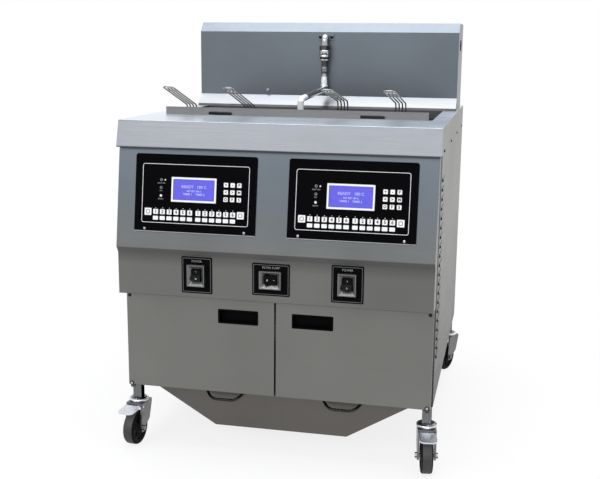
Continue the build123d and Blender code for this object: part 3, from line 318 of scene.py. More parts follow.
def brushed_group():
    """Fine grain in one direction over slow cloudy patches, with a tone by height and a tone on faces that look
    up, which some materials use for painted highlight and painted shade.
    """
    wiring, given, result = open_group(
        "Brushed grain", "ShaderNodeTree",
        [("Color", "Color", MID_GREY), ("Upper", "Color", MID_GREY), ("Top", "Color", MID_GREY),
         ("Stretch", "Vector", (4, 500, 500)), ("Grain", "Float", 0.1), ("Clouds", "Float", 0.1),
         ("Low", "Float", 0.3), ("High", "Float", 0.45), ("Start", "Float", 0.57), ("End", "Float", 0.75)],
        SURFACE)
    place = wiring.place()
    along = wiring.add("ShaderNodeVectorMath", {0: place, 1: given["Stretch"]}, operation="MULTIPLY").outputs[0]
    grain = wiring.noise(along, scale=1.0, detail=3.0)
    cloud = wiring.noise(place, scale=3.1, detail=2.0)
    grain_step = wiring.math("MULTIPLY", wiring.math("SUBTRACT", grain, 0.5), given["Grain"])
    cloud_step = wiring.math("MULTIPLY", wiring.math("SUBTRACT", cloud, 0.5), given["Clouds"])
    tone = wiring.math("ADD", wiring.math("ADD", grain_step, cloud_step), 1.0)
    # Tone by height: in some materials a painted shade, at the foot of the side panels, the foot of the cove,
    # the console strip and the lower part of the darker basket handles
    high = wiring.ramp(wiring.axis(place, 2), given["Start"], given["End"])
    raised = wiring.mix(high, given["Color"], given["Upper"])
    # Faces that look up take the Top tone: a painted highlight on the worktop and on the domed bolts
    upward = wiring.axis(wiring.normal(), 2)
    base = wiring.mix(wiring.ramp(upward, start=0.75, end=0.98), raised, given["Top"])
    blend = wiring.math("ADD", wiring.math("MULTIPLY", grain, 0.6), wiring.math("MULTIPLY", cloud, 0.4))
    rough = wiring.ramp(blend, start=0.3, end=0.7, low=given["Low"], high=given["High"])
    under = wiring.ramp(upward, start=-0.15, end=-0.6, high=0.4)
    wiring.link(wiring.scaled(base, tone), result["Color"])
    wiring.link(wiring.math("ADD", rough, under), result["Roughness"])
    wiring.link(grain, result["Height"])
    return wiring.tree


def speckle_group():
    """Two mixed tones in small irregular patches, for plating, castings and worn wire."""
    wiring, given, result = open_group(
        "Speckle", "ShaderNodeTree",
        [("First", "Color", MID_GREY), ("Second", "Color", (0.3, 0.3, 0.3, 1)),
         ("Scale", "Float", 200.0), ("Low", "Float", 0.3), ("High", "Float", 0.5)],
        SURFACE)
    fine = wiring.noise(wiring.place(), given["Scale"], detail=4.0)
    mask = wiring.ramp(fine, start=0.38, end=0.62)
    wiring.link(wiring.mix(mask, given["First"], given["Second"]), result["Color"])
    wiring.link(wiring.ramp(mask, low=given["Low"], high=given["High"]), result["Roughness"])
    wiring.link(fine, result["Height"])
    return wiring.tree


def dust_group():
    """A thin pale film on faces that look up, broken up by noise."""
    wiring, given, result = open_group(
        "Settled dust", "ShaderNodeTree",
        [("Color", "Color", MID_GREY), ("Dust", "Color", (0.4, 0.39, 0.37, 1)), ("Amount", "Float", 0.1)],
        [("Color", "Color")])
    upward = wiring.axis(wiring.normal(), 2)
    patch = wiring.noise(wiring.place(), scale=24.0, detail=5.0)
    level = wiring.math("MULTIPLY", wiring.math("MAXIMUM", upward, 0.15), patch)
    share = wiring.math("MULTIPLY", level, given["Amount"])
    wiring.link(wiring.mix(share, given["Color"], given["Dust"]), result["Color"])
    return wiring.tree


EFFECT_MAKERS = {"brushed": brushed_group, "speckle": speckle_group, "dust": dust_group}
EFFECTS = {}


def effect(wiring, name, values):
    """Places a shared effect, built on its first use, in a material with its own values."""
    if name not in EFFECTS:
        EFFECTS[name] = EFFECT_MAKERS[name]()
    return wiring.add("ShaderNodeGroup", values, node_tree=EFFECTS[name]).outputs


def blank_material(name):
    """A new material with its wiring and its Principled shader."""
    material = bpy.data.materials.new(name)
    material.use_nodes = True
    wiring = Wiring(material.node_tree)
    return material, wiring, material.node_tree.nodes["Principled BSDF"]


def dimmed(values, share):
    """A colour's three numbers times a share."""
    return [value * share for value in values]


def rgba(values, share=1.0):
    """Three numbers as an opaque colour."""
    return (*dimmed(values, share), 1.0)


def coated(wiring, shader, base, surface, metallic, strength, distance):
    """Gives the shader its colour, roughness, metal share and a fine relief."""
    wiring.link(base, shader.inputs["Base Color"])
    wiring.link(surface["Roughness"], shader.inputs["Roughness"])
    shader.inputs["Metallic"].default_value = metallic
    if strength:
        bump = wiring.add("ShaderNodeBump", {
            "Strength": strength, "Distance": distance, "Height": surface["Height"]})
        wiring.link(bump.outputs[0], shader.inputs["Normal"])


def brushed_metal(name, tint, stretch, grain=0.10, clouds=0.10, rough=(0.30, 0.44), upper=None, top=None,
                  span=(0.57, 0.75), edge=1.0, inner=None, painted_shade=None):
    """Brushed steel with grain along one axis, another tone above a height span and a trace of dust.

    The edge is the tint at glancing angles, top the colour of faces that look up, used as a painted
    highlight, inner a painted shade: the colour of faces towards the middle plane, and painted_shade
    a painted shade under an overhang: a darkening that grows from one height up to another, where it ends.
    """
    material, wiring, shader = blank_material(name)
    upper = upper or tint
    surface = effect(wiring, "brushed", {
        "Color": rgba(tint), "Upper": rgba(upper), "Top": rgba(top or upper), "Stretch": stretch,
        "Grain": grain, "Clouds": clouds, "Low": rough[0], "High": rough[1], "Start": span[0], "End": span[1]})
    base = effect(wiring, "dust", {"Color": surface["Color"], "Amount": 0.12})["Color"]
    # Painted shade: faces towards the middle plane, such as the legs' inner faces, take the inner colour
    if inner:
        facing = wiring.math("MULTIPLY", wiring.axis(wiring.place(), 0), wiring.axis(wiring.normal(), 0))
        base = wiring.mix(wiring.ramp(facing, end=-0.3), base, rgba(inner))
    # Painted shade under the console's nose: darker from one height up to another, full tone again above it
    if painted_shade:
        start, end, share = painted_shade
        height = wiring.axis(wiring.place(), 2)
        fade = wiring.ramp(height, start, end, low=1.0, high=share)
        base = wiring.scaled(base, wiring.math("MAXIMUM", fade, wiring.math("GREATER_THAN", height, end)))
    coated(wiring, shader, base, surface, metallic=1.0, strength=0.06, distance=0.0004)
    shader.inputs["Specular Tint"].default_value = (edge, edge, edge, 1.0)
    return material


def speckled(name, first, second, scale, rough, metallic, bump=0.0, dust=0.15, specular=0.5):
    """A cast, plated, moulded or worn surface of two close tones."""
    material, wiring, shader = blank_material(name)
    surface = effect(wiring, "speckle", {
        "First": rgba(first), "Second": rgba(second), "Scale": scale, "Low": rough[0], "High": rough[1]})
    base = effect(wiring, "dust", {"Color": surface["Color"], "Amount": dust})["Color"]
    coated(wiring, shader, base, surface, metallic, strength=bump, distance=0.0006)
    shader.inputs["Specular IOR Level"].default_value = specular
    return material


def lit(name, tint, scale):
    """A lit display surface whose brightness wavers a little."""
    material, wiring, shader = blank_material(name)
    surface = effect(wiring, "speckle", {
        "First": rgba(tint), "Second": rgba(tint, share=0.86), "Scale": scale, "Low": 0.25, "High": 0.35})
    shader.inputs["Base Color"].default_value = rgba(tint, share=0.15)
    wiring.link(surface["Color"], shader.inputs["Emission Color"])
    wiring.link(surface["Roughness"], shader.inputs["Roughness"])
    shader.inputs["Emission Strength"].default_value = 0.9
    shader.inputs["Specular IOR Level"].default_value = 0.3
    return material


FINISHES = {}
ACROSS, DEPTHWISE, UPRIGHT = (5, 420, 420), (420, 5, 420), (420, 420, 5)


def build_brushed():
    """Makes the brushed metals from the settings."""
    f = bpy.context.scene.fryer_finishes
    FINISHES.update({
        "sheet": brushed_metal("Brushed sheet", f.sheet, ACROSS, clouds=0.34, upper=f.upper),
        # Painted shade: the side panels and their louvres are darker below the span and lighter above it
        "side": brushed_metal("Brushed side sheet", f.side, DEPTHWISE, clouds=0.2, upper=dimmed(f.sheet, 1.15),
                              span=(0.2, 0.62), edge=0.8),
        # Painted shade: the console strip is 0.88 of the sheet tone and darkens further just under the nose
        "console": brushed_metal("Console sheet", dimmed(f.sheet, 0.88), ACROSS, clouds=0.34, upper=f.upper,
                                 painted_shade=(0.558, 0.5915, 0.68)),
        # The worktop's upward faces take the deck colour through the Top tone: a painted highlight
        "deck": brushed_metal("Worktop sheet", f.sheet, ACROSS, rough=(0.24, 0.36), upper=f.apron, top=f.deck),
        "guard": brushed_metal("Guard sheet", f.guard, ACROSS),
        # Painted shade: the cove's lowest few millimetres, below the span, are a tenth of the bright tone, a
        # dark band above the splash guard
        "bright": brushed_metal("Bright sheet", dimmed(f.bright, 0.1), ACROSS, grain=0.08, clouds=0.08,
                                rough=(0.26, 0.38), upper=f.bright, span=(0.9605, 0.9615)),
        # Painted shade: the two right basket handles are a darker copy of the wire, dark steel below and the
        # wire's own tone on top
        "handle": brushed_metal("Handle wire", f.dark, ACROSS, upper=f.wire, span=(1.0, 1.03)),
        "pan": brushed_metal("Stained pan steel", f.pan, ACROSS, grain=0.08, clouds=0.3, rough=(0.32, 0.5)),
        "vat": brushed_metal("Satin vat steel", f.vat, ACROSS, grain=0.06, clouds=0.25, rough=(0.32, 0.5)),
        # Painted shade: the legs' and rails' faces towards the middle take a near-black tone
        "tube": brushed_metal("Frame tube", f.tube, UPRIGHT, grain=0.12, rough=(0.18, 0.3), edge=0.1,
                              inner=dimmed(f.dark, 0.1)),
        # Painted highlight: the dark domed bolts turn near white on faces that look up, a painted glint
        "bolt": brushed_metal("Domed bolt", (0.02, 0.02, 0.02), ACROSS, rough=(0.2, 0.3),
                              top=(0.95, 0.95, 0.95)),
    })


def build_speckled():
    """Makes the plated, cast, moulded, printed and lit surfaces from the settings."""
    f = bpy.context.scene.fryer_finishes
    c = bpy.context.scene.fryer_controls
    # Finish, name, colour, second tone's share of it, scale, roughness, metal share, bump, dust, specular level
    for finish, name, tint, share, *rest in (
            ("wire", "Worn wire", f.wire, 0.6, 160, (0.28, 0.45), 1.0, 0.1),
            ("dark", "Darkened steel", f.dark, 0.6, 140, (0.22, 0.4), 1.0, 0.05, 0.03),
            ("fitting", "Polished fitting", f.fitting, 0.86, 60, (0.08, 0.18), 1.0),
            ("housing", "Satin housing", f.housing, 0.85, 220, (0.34, 0.48), 1.0),
            ("zinc", "Zinc plate", f.zinc, 0.86, 60, (0.18, 0.32), 1.0, 0.03),
            ("pedal", "Bright pedal", f.pedal, 0.85, 90, (0.2, 0.34), 1.0),
            ("rubber", "Tyre rubber", f.rubber, 1.8, 220, (0.42, 0.62), 0.0, 0.12, 0.02, 0.04),
            ("tread", "Worn tread", f.tread, 1.8, 220, (0.5, 0.7), 0.0, 0.12, 0.3, 0.3),
            ("black", "Moulded black", f.black, 1.6, 900, (0.45, 0.6), 0.0, 0.12, 0.005, 0.02),
            ("rocker", "Rocker black", f.black, 2.2, 600, (0.25, 0.4), 0.0, 0.05, 0.01, 0.06),
            ("film", "Overlay film", f.film, 1.5, 700, (0.34, 0.46), 0.0, 0.05, 0.005, 0.012),
            ("print", "White print", c.print_white, 0.94, 300, (0.45, 0.6), 0.0, 0.0, 0.03),
            ("plate_print", "Grey print", c.print_grey, 0.9, 300, (0.45, 0.6), 0.0, 0.0, 0.03),
            ("line_print", "Line print", c.print_line, 0.9, 300, (0.45, 0.6), 0.0, 0.0, 0.03),
            ("legend", "Key legend", c.legend, 0.8, 300, (0.5, 0.6), 0.0, 0.0, 0.02),
            ("cast", "Cast grey", f.cast, 0.7, 260, (0.45, 0.65), 0.3, 0.3),
            ("paint", "Motor paint", f.paint, 0.85, 320, (0.3, 0.42), 0.0, 0.15),
            ("grip", "Dipped grip", f.grip, 0.8, 420, (0.35, 0.5), 0.0, 0.12)):
        FINISHES[finish] = speckled(name, tint, dimmed(tint, share), *rest)
    FINISHES.update({
        "nut": speckled("Tarnished nut", (0.085, 0.083, 0.08), (0.05, 0.047, 0.044), 160, (0.2, 0.36), 1.0),
        # Painted reflection: the spout's lower body, nozzle and mouth are near white, standing in for the white
        # they reflect
        "pale": speckled("Pale sleeve", (0.78, 0.79, 0.81), (0.70, 0.71, 0.73), 120, (0.3, 0.45), 0.25),
        "hub": speckled("Hub core", (0.005, 0.005, 0.005), (0.014, 0.014, 0.014), 240, (0.4, 0.6), 0.0,
                        bump=0.1, dust=0.02, specular=0.06),
        "element": speckled("Element sheath", (0.06, 0.055, 0.05), (0.11, 0.09, 0.07), 120, (0.38, 0.6), 0.9,
                            bump=0.15),
        "glass": lit("Display glass", c.glass, 60),
        "glass_text": lit("Display text", c.glass_text, 300),
    })


CAD_FINISHES = {
    "sheet": ("back_panel", "backsplash", "rear_cover", "left_door", "right_door", "electrical_box"),
    "console": ("control_console",),
    "deck": ("worktop_deck",),
    "bright": ("rear_cove",),
    "guard": ("splash_guard",),
    "side": ("left_side_panel", "right_side_panel"),
    "vat": ("left_vat", "right_vat"),
    "pan": ("filter_pan", "filter_screen"),
    "element": ("heaters", "temperature_probes"),
    "tube": ("frame", "pan_rails"),
    "wire": ("basket_1", "basket_2", "basket_3", "basket_4", "basket_1_handle", "basket_2_handle"),
    "dark": ("pan_handles",),
    "nut": ("door_hinges",),
    # Painted shade: a darker copy of the basket wire for these two handles
    "handle": ("basket_3_handle", "basket_4_handle"),
    "fitting": ("faucet_elbow", "oil_spout", "oil_pipes", "pickup_pipe", "panel_screws"),
    "housing": ("switch_housings",),
    "zinc": ("front_left_fork", "front_right_fork", "rear_left_fork", "rear_right_fork"),
    "pedal": ("front_left_pedal", "front_right_pedal"),
    "rubber": ("front_left_wheel", "front_right_wheel", "rear_left_wheel", "rear_right_wheel"),
    "black": ("left_door_pull", "right_door_pull", "switch_plates", "cable_gland"),
    "rocker": ("left_power_rocker", "pump_rocker", "right_power_rocker"),
    "film": ("control_overlays",),
    "glass": ("displays",),
    "cast": ("filter_pump", "drain_valves"),
    "paint": ("pump_motor",),
    "grip": ("left_drain_lever", "right_drain_lever"),
}


# Mesh helpers


def mm(*values):
    """Millimetres as metres."""
    return [value * MM for value in values]


def linked(name, data):
    """A new object in the scene."""
    made = bpy.data.objects.new(name, data)
    bpy.context.scene.collection.objects.link(made)
    return made


def piece(name, mesh, body, replaces=()):
    """Shows a finished mesh as a piece that rides on a body."""
    made = linked(name, mesh)
    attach(made, body)
    if replaces:
        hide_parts(*replaces)


def mesh_from(build, name, material, smooth=False):
    """Closes a bmesh into a mesh with one material."""
    mesh = bpy.data.meshes.new(name)
    bmesh.ops.recalc_face_normals(build, faces=build.faces)
    build.to_mesh(mesh)
    build.free()
    mesh.materials.append(material)
    mesh.polygons.foreach_set("use_smooth", [smooth] * len(mesh.polygons))
    return mesh


def merged(name, meshes):
    """Several meshes in one, each keeping its material."""
    build = bmesh.new()
    materials = []
    for mesh in meshes:
        first = len(build.faces)
        build.from_mesh(mesh)
        build.faces.ensure_lookup_table()
        for face in build.faces[first:]:
            material = mesh.materials[face.material_index]
            if material not in materials:
                materials.append(material)
            face.material_index = materials.index(material)
        bpy.data.meshes.remove(mesh)
    made = bpy.data.meshes.new(name)
    build.to_mesh(made)
    build.free()
    for material in materials:
        made.materials.append(material)
    return made


def as_mesh(host):
    """The finished mesh of an object, which is then removed."""
    depsgraph = bpy.context.evaluated_depsgraph_get()
    mesh = bpy.data.meshes.new_from_object(host.evaluated_get(depsgraph), depsgraph=depsgraph)
    bpy.data.objects.remove(host)
    return mesh


def grown(name, tree, values, seed=None):
    """Runs a geometry tree and gives its result as a plain mesh."""
    host = linked(name + "_host", seed or bpy.data.meshes.new(name + "_seed"))
    modifier = host.modifiers.new("Grow", "NODES")
    modifier.node_group = tree
    for item in tree.interface.items_tree:
        if item.item_type == "SOCKET" and item.in_out == "INPUT" and item.name in values:
            modifier[item.identifier] = values[item.name]
    mesh = as_mesh(host)
    mesh.name = name
    if not mesh.polygons:
        raise RuntimeError(f"the tree {tree.name} made no faces for {name}")
    return mesh


def points_mesh(name, points):
    """A mesh of loose points."""
    mesh = bpy.data.meshes.new(name)
    mesh.from_pydata([tuple(p) for p in points], [], [])
    return mesh


def rounded_outline(width, height, corner, steps=5):
    """Points round a rectangle with round corners, in the XY plane."""
    points = []
    for cx, cy, start in ((1, 1, 0), (-1, 1, 90), (-1, -1, 180), (1, -1, 270)):
        for i in range(steps + 1):
            angle = math.radians(start + 90 * i / steps)
            points.append(((width / 2 - corner) * cx + corner * math.cos(angle),
                           (height / 2 - corner) * cy + corner * math.sin(angle)))
    return points


def hexagon(radius):
    """Points of a hexagon, in the XY plane."""
    return [(radius * math.cos(math.pi * i / 3), radius * math.sin(math.pi * i / 3)) for i in range(6)]


def band(build, first, second):
    """Joins two closed loops of points by a band of faces."""
    count = len(first)
    for i in range(count):
        after = (i + 1) % count
        build.faces.new((first[i], first[after], second[after], second[i]))


def line_ring(name, width, height, corner, line, thickness, material):
    """A flat printed line round a rectangle, in the XY plane."""
    build = bmesh.new()
    outer = rounded_outline(width, height, corner)
    inner = rounded_outline(width - 2 * line, height - 2 * line, max(corner - line, line / 4))
    loops = [[build.verts.new((x, y, z)) for x, y in loop]
             for loop, z in ((outer, 0), (outer, thickness), (inner, thickness), (inner, 0))]
    for a, b in zip(loops, loops[1:] + loops[:1]):
        band(build, a, b)
    return mesh_from(build, name, material)


def plate(name, outline, low, high, material, edge=0.0):
    """A flat plate of any outline between two heights, with a small edge rounding."""
    build = bmesh.new()
    lower, upper = ([build.verts.new((x, y, z)) for x, y in outline] for z in (low, high))
    ends = build.faces.new(lower[::-1]), build.faces.new(upper)
    band(build, lower, upper)
    if edge:
        build.normal_update()
        rim = [side for face in ends for side in face.edges]
        bmesh.ops.bevel(build, geom=rim, offset=edge, segments=2, affect="EDGES", profile=0.6)
    return mesh_from(build, name, material)


def lathe(name, profile, material, segments=64, closed=True, share=1.0):
    """A turned piece about the X axis, from points of axial place and radius in millimetres.

    A closed profile ends where it starts; any other gets flat ends. The share scales the radii.
    """
    build = bmesh.new()
    rings = []
    for axial, radius in profile:
        along, out = axial * MM, radius * share * MM
        rings.append([build.verts.new((along, out * math.cos(a), out * math.sin(a)))
                      for a in (2 * math.pi * i / segments for i in range(segments))])
    for a, b in zip(rings, rings[1:]):
        band(build, a, b)
    if closed:
        band(build, rings[-1], rings[0])
    else:
        build.faces.new(rings[0])
        build.faces.new(rings[-1])
    mesh = mesh_from(build, name, material, True)
    mesh.set_sharp_from_angle(angle=TURNED_CREASE)
    return mesh


def from_curve(curve, material):
    """Turns a curve into a mesh with one material."""
    mesh = as_mesh(linked(curve.name, curve))
    bpy.data.curves.remove(curve)
    mesh.materials.clear()
    mesh.materials.append(material)
    return mesh


def lettering(name, text, size, material, weight=0.0):
    """A word as a mesh in the XY plane, centred on the origin, its strokes widened by a weight."""
    curve = bpy.data.curves.new(name, "FONT")
    curve.body = text
    curve.size = size
    curve.align_x = "CENTER"
    curve.align_y = "CENTER"
    curve.extrude = 0.15 * MM
    curve.offset = weight
    curve.resolution_u = 2
    return from_curve(curve, material)


def rod(name, points, radius, bend, material):
    """A round rod along a line of points, its corners eased over a bend."""
    points = [Vector(p) for p in points]
    path = [points[0]]
    for before, corner, after in zip(points, points[1:], points[2:]):
        back, ahead = (before - corner).normalized(), (after - corner).normalized()
        run = bend / math.tan(back.angle(ahead) / 2)
        for t in (i / BEND_STEPS for i in range(BEND_STEPS + 1)):
            path.append(corner + back * run * (1 - t) ** 2 + ahead * run * t ** 2)
    path.append(points[-1])
    curve = bpy.data.curves.new(name, "CURVE")
    curve.dimensions = "3D"
    curve.bevel_depth = radius
    curve.bevel_resolution = 6
    curve.use_fill_caps = True
    line = curve.splines.new("POLY")
    line.points.add(len(path) - 1)
    for point, place in zip(line.points, path):
        point.co = (*place, 1)
    mesh = from_curve(curve, material)
    mesh.set_sharp_from_angle(angle=ROD_CREASE)
    return mesh


def placed(mesh, matrix):
    """Moves a mesh to its place and gives it back."""
    mesh.transform(matrix)
    return mesh


def face_matrix(x, rise, proud):
    """Places the XY plane on the leaning control face, a distance up from the nose."""
    spot = NOSE + Vector((x, 0, 0)) + FACE_UP * rise + FACE_OUT * proud
    return Matrix.Translation(spot) @ Matrix.Rotation(QUARTER - LEAN, 4, "X")


def overlay_matrix(side, x, y, proud=0.0):
    """Places the XY plane on one overlay, by millimetres from its middle and metres above it."""
    return face_matrix(side * OVERLAY_X + x * MM, OVERLAY_RISE + y * MM, OVERLAY_PROUD + proud)


def front_matrix(x, y, z):
    """Places the XY plane upright, facing the front."""
    return Matrix.Translation((x, y, z)) @ Matrix.Rotation(QUARTER, 4, "X")


# Geometry trees


def basket_tree():
    """A basket of mesh wire: rings round it, bent wires across and along it, and a thick rim."""
    wiring, given, result = open_group(
        "Wire basket", "GeometryNodeTree",
        [("Width", "Float", 0.158), ("Length", "Float", 0.33), ("Depth", "Float", 0.15),
         ("Corner", "Float", 0.009), ("Wire", "Float", 0.0008), ("Rim", "Float", 0.003),
         ("Pitch", "Float", 0.008), ("Material", "Material", None)],
        [("Geometry", "Geometry")])

    def section(radius, steps):
        """The round profile of a wire."""
        return wiring.add("GeometryNodeCurvePrimitiveCircle",
                          {"Resolution": steps, "Radius": radius}).outputs[0]

    def count(size):
        """How many wires go side by side between two round corners."""
        room = wiring.math("SUBTRACT", size, wiring.math("MULTIPLY", given["Corner"], 2.0))
        return wiring.math("ADD", wiring.math("FLOOR", wiring.math("DIVIDE", room, given["Pitch"])), 1.0)

    def row(start, end, number_of):
        """Points in a row between two places."""
        ends = {2: wiring.vector(start), 3: wiring.vector(end)}
        return wiring.add("GeometryNodeMeshLine", {0: number_of, **ends}, mode="END_POINTS").outputs[0]

    def copies(points, curve, profile):
        """A wire along the curve at every point."""
        real = wiring.add("GeometryNodeRealizeInstances", {0: wiring.spread(points, curve)}).outputs[0]
        return wiring.add("GeometryNodeCurveToMesh",
                          {"Curve": real, "Profile Curve": profile, "Fill Caps": True}).outputs[0]

    def bent(size, run, axis):
        """A row of wires that go down one wall, over the bottom and up the other wall."""
        index = wiring.add("GeometryNodeInputIndex").outputs[0]
        half = wiring.math("MULTIPLY", size, 0.5)
        far = wiring.math("GREATER_THAN", index, 1.5)
        sign = wiring.math("SUBTRACT", wiring.math("MULTIPLY", far, 2.0), 1.0)
        inner = wiring.math("LESS_THAN", wiring.math("ABSOLUTE", wiring.math("SUBTRACT", index, 1.5)), 1.0)
        spot = wiring.vector({axis: wiring.math("MULTIPLY", half, sign),
                              2: wiring.math("MULTIPLY", depth, inner)})
        line = wiring.add("GeometryNodeMeshLine", {0: 4}, mode="OFFSET").outputs[0]
        shaped = wiring.add("GeometryNodeSetPosition", {"Geometry": line, "Position": spot}).outputs[0]
        curve = wiring.add("GeometryNodeMeshToCurve", {"Mesh": shaped}).outputs[0]
        edge = wiring.math("SUBTRACT", wiring.math("MULTIPLY", run, 0.5), given["Corner"])
        start = wiring.math("MULTIPLY", edge, -1.0)
        return copies(row({1 - axis: start}, {1 - axis: edge}, count(run)),
                      wiring.eased(curve, given["Corner"], 4), thin)

    thin, thick = section(given["Wire"], 6), section(given["Rim"], 10)
    depth = wiring.math("MULTIPLY", given["Depth"], -1.0)
    outline = wiring.add("GeometryNodeCurvePrimitiveQuadrilateral",
                         {"Width": given["Width"], "Height": given["Length"]}).outputs[0]
    ring = wiring.eased(outline, given["Corner"], 5)
    low_ring = wiring.math("ADD", depth, given["Corner"])
    rings = copies(row({}, {2: low_ring}, count(given["Depth"])), ring, thin)
    rim = copies(row({}, {}, 1), ring, thick)
    across = bent(given["Width"], given["Length"], 0)
    lengthwise = bent(given["Length"], given["Width"], 1)
    return close_shape(wiring, given, result, wiring.join(rings, rim, across, lengthwise))


def key_tree():
    """Raised keys with round corners on a set of points of the control face."""
    wiring, given, result = open_group(
        "Key caps", "GeometryNodeTree",
        [("Geometry", "Geometry", None), ("Width", "Float", 0.015), ("Height", "Float", 0.014),
         ("Corner", "Float", 0.0015), ("Rise", "Float", 0.0006), ("Material", "Material", None)],
        [("Geometry", "Geometry")])
    outline = wiring.add("GeometryNodeCurvePrimitiveQuadrilateral",
                         {"Width": given["Width"], "Height": given["Height"]}).outputs[0]
    soft = wiring.eased(outline, given["Corner"], 3)
    flat = wiring.add("GeometryNodeFillCurve", {"Curve": soft}, mode="NGONS").outputs[0]
    raised = wiring.add("GeometryNodeExtrudeMesh", {
        "Mesh": flat, "Offset": wiring.vector({2: given["Rise"]}), "Offset Scale": 1.0, "Individual": False},
        mode="FACES").outputs[0]
    under = wiring.add("GeometryNodeFlipFaces", {"Mesh": flat}).outputs[0]
    closed = wiring.add("GeometryNodeMergeByDistance",
                        {"Geometry": wiring.join(raised, under), "Distance": 1e-6}).outputs[0]
    return close_shape(wiring, given, result, wiring.spread(given["Geometry"], closed), False)


def fastener_tree():
    """One fastener set on every point, along the direction stored on that point."""
    wiring, given, result = open_group(
        "Fasteners", "GeometryNodeTree",
        [("Geometry", "Geometry", None), ("Fastener", "Object", None), ("Material", "Material", None)],
        [("Geometry", "Geometry")])
    shape = wiring.add("GeometryNodeObjectInfo", {"Object": given["Fastener"]}).outputs["Geometry"]
    facing = wiring.add("GeometryNodeInputNamedAttribute", {"Name": "facing"},
                        data_type="FLOAT_VECTOR").outputs[0]
    turn = wiring.add("FunctionNodeAlignRotationToVector", {"Vector": facing}, axis="Z").outputs[0]
    return close_shape(wiring, given, result, wiring.spread(given["Geometry"], shape, Rotation=turn), False)


def louvre_tree():
    """A column of pressed louvre hoods."""
    wiring, given, result = open_group(
        "Louvre bank", "GeometryNodeTree",
        [("Hood", "Object", None), ("Count", "Int", 18), ("Start", "Vector", (0, 0, 0)),
         ("Pitch", "Float", 0.025), ("Material", "Material", None)],
        [("Geometry", "Geometry")])
    shape = wiring.add("GeometryNodeObjectInfo", {"Object": given["Hood"]}).outputs["Geometry"]
    step = wiring.vector({2: given["Pitch"]})
    line = wiring.add("GeometryNodeMeshLine", {0: given["Count"], 2: given["Start"], 3: step}, mode="OFFSET")
    return close_shape(wiring, given, result, wiring.spread(line.outputs[0], shape))


def spoke_tree():
    """Stiffening ribs round a wheel's hub, about the X axis."""
    wiring, given, result = open_group(
        "Hub ribs", "GeometryNodeTree",
        [("Count", "Int", 8), ("Inner", "Float", 0.015), ("Outer", "Float", 0.037), ("Width", "Float", 0.0025),
         ("Depth", "Float", 0.004), ("Side", "Float", 0.013), ("Material", "Material", None)],
        [("Geometry", "Geometry")])
    run = wiring.math("SUBTRACT", given["Outer"], given["Inner"])
    middle = wiring.math("MULTIPLY", wiring.math("ADD", given["Outer"], given["Inner"]), 0.5)
    size = wiring.vector({0: given["Depth"], 1: run, 2: given["Width"]})
    rib = wiring.add("GeometryNodeMeshCube", {"Size": size}).outputs[0]
    out = wiring.vector({0: given["Side"], 1: middle})
    moved = wiring.add("GeometryNodeTransform", {"Geometry": rib, "Translation": out}).outputs[0]
    origin = wiring.add("GeometryNodeMeshLine", {0: given["Count"], 3: (0, 0, 0)}, mode="OFFSET").outputs[0]
    index = wiring.add("GeometryNodeInputIndex").outputs[0]
    angle = wiring.math("DIVIDE", wiring.math("MULTIPLY", index, 2 * math.pi), given["Count"])
    return close_shape(
        wiring, given, result, wiring.spread(origin, moved, Rotation=wiring.vector({0: angle})), False)


# Operators


class FRYER_OT_finishes(bpy.types.Operator):
    """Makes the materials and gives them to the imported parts"""
    bl_idname = "fryer.finishes"
    bl_label = "Finish the Metal and Plastic"

    def execute(self, context):
        build_brushed()
        build_speckled()
        for finish, names in CAD_FINISHES.items():
            for name in names:
                NODES[name].data.materials.clear()
                NODES[name].data.materials.append(FINISHES[finish])
        return {"FINISHED"}


class FRYER_OT_baskets(bpy.types.Operator):
    """Weaves the four wire baskets"""
    bl_idname = "fryer.baskets"
    bl_label = "Weave the Baskets"

    def execute(self, context):
        sizes = context.scene.fryer_baskets
        tree = basket_tree()
        for i in range(1, 5):
            node = f"basket_{i}"
            low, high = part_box(node)
            mesh = grown(f"{node}_mesh", tree, {
                "Width": high.x - low.x - 2 * sizes.rim, "Length": high.y - low.y - 2 * sizes.rim,
                "Depth": high.z - low.z - sizes.rim - sizes.wire, "Corner": sizes.corner, "Wire": sizes.wire,
                "Rim": sizes.rim, "Pitch": sizes.pitch, "Material": FINISHES["wire"]})
            top = Vector(((low.x + high.x) / 2, (low.y + high.y) / 2, high.z - sizes.rim))
            piece(f"{node}_weave", placed(mesh, Matrix.Translation(top)), node, (node,))
        return {"FINISHED"}


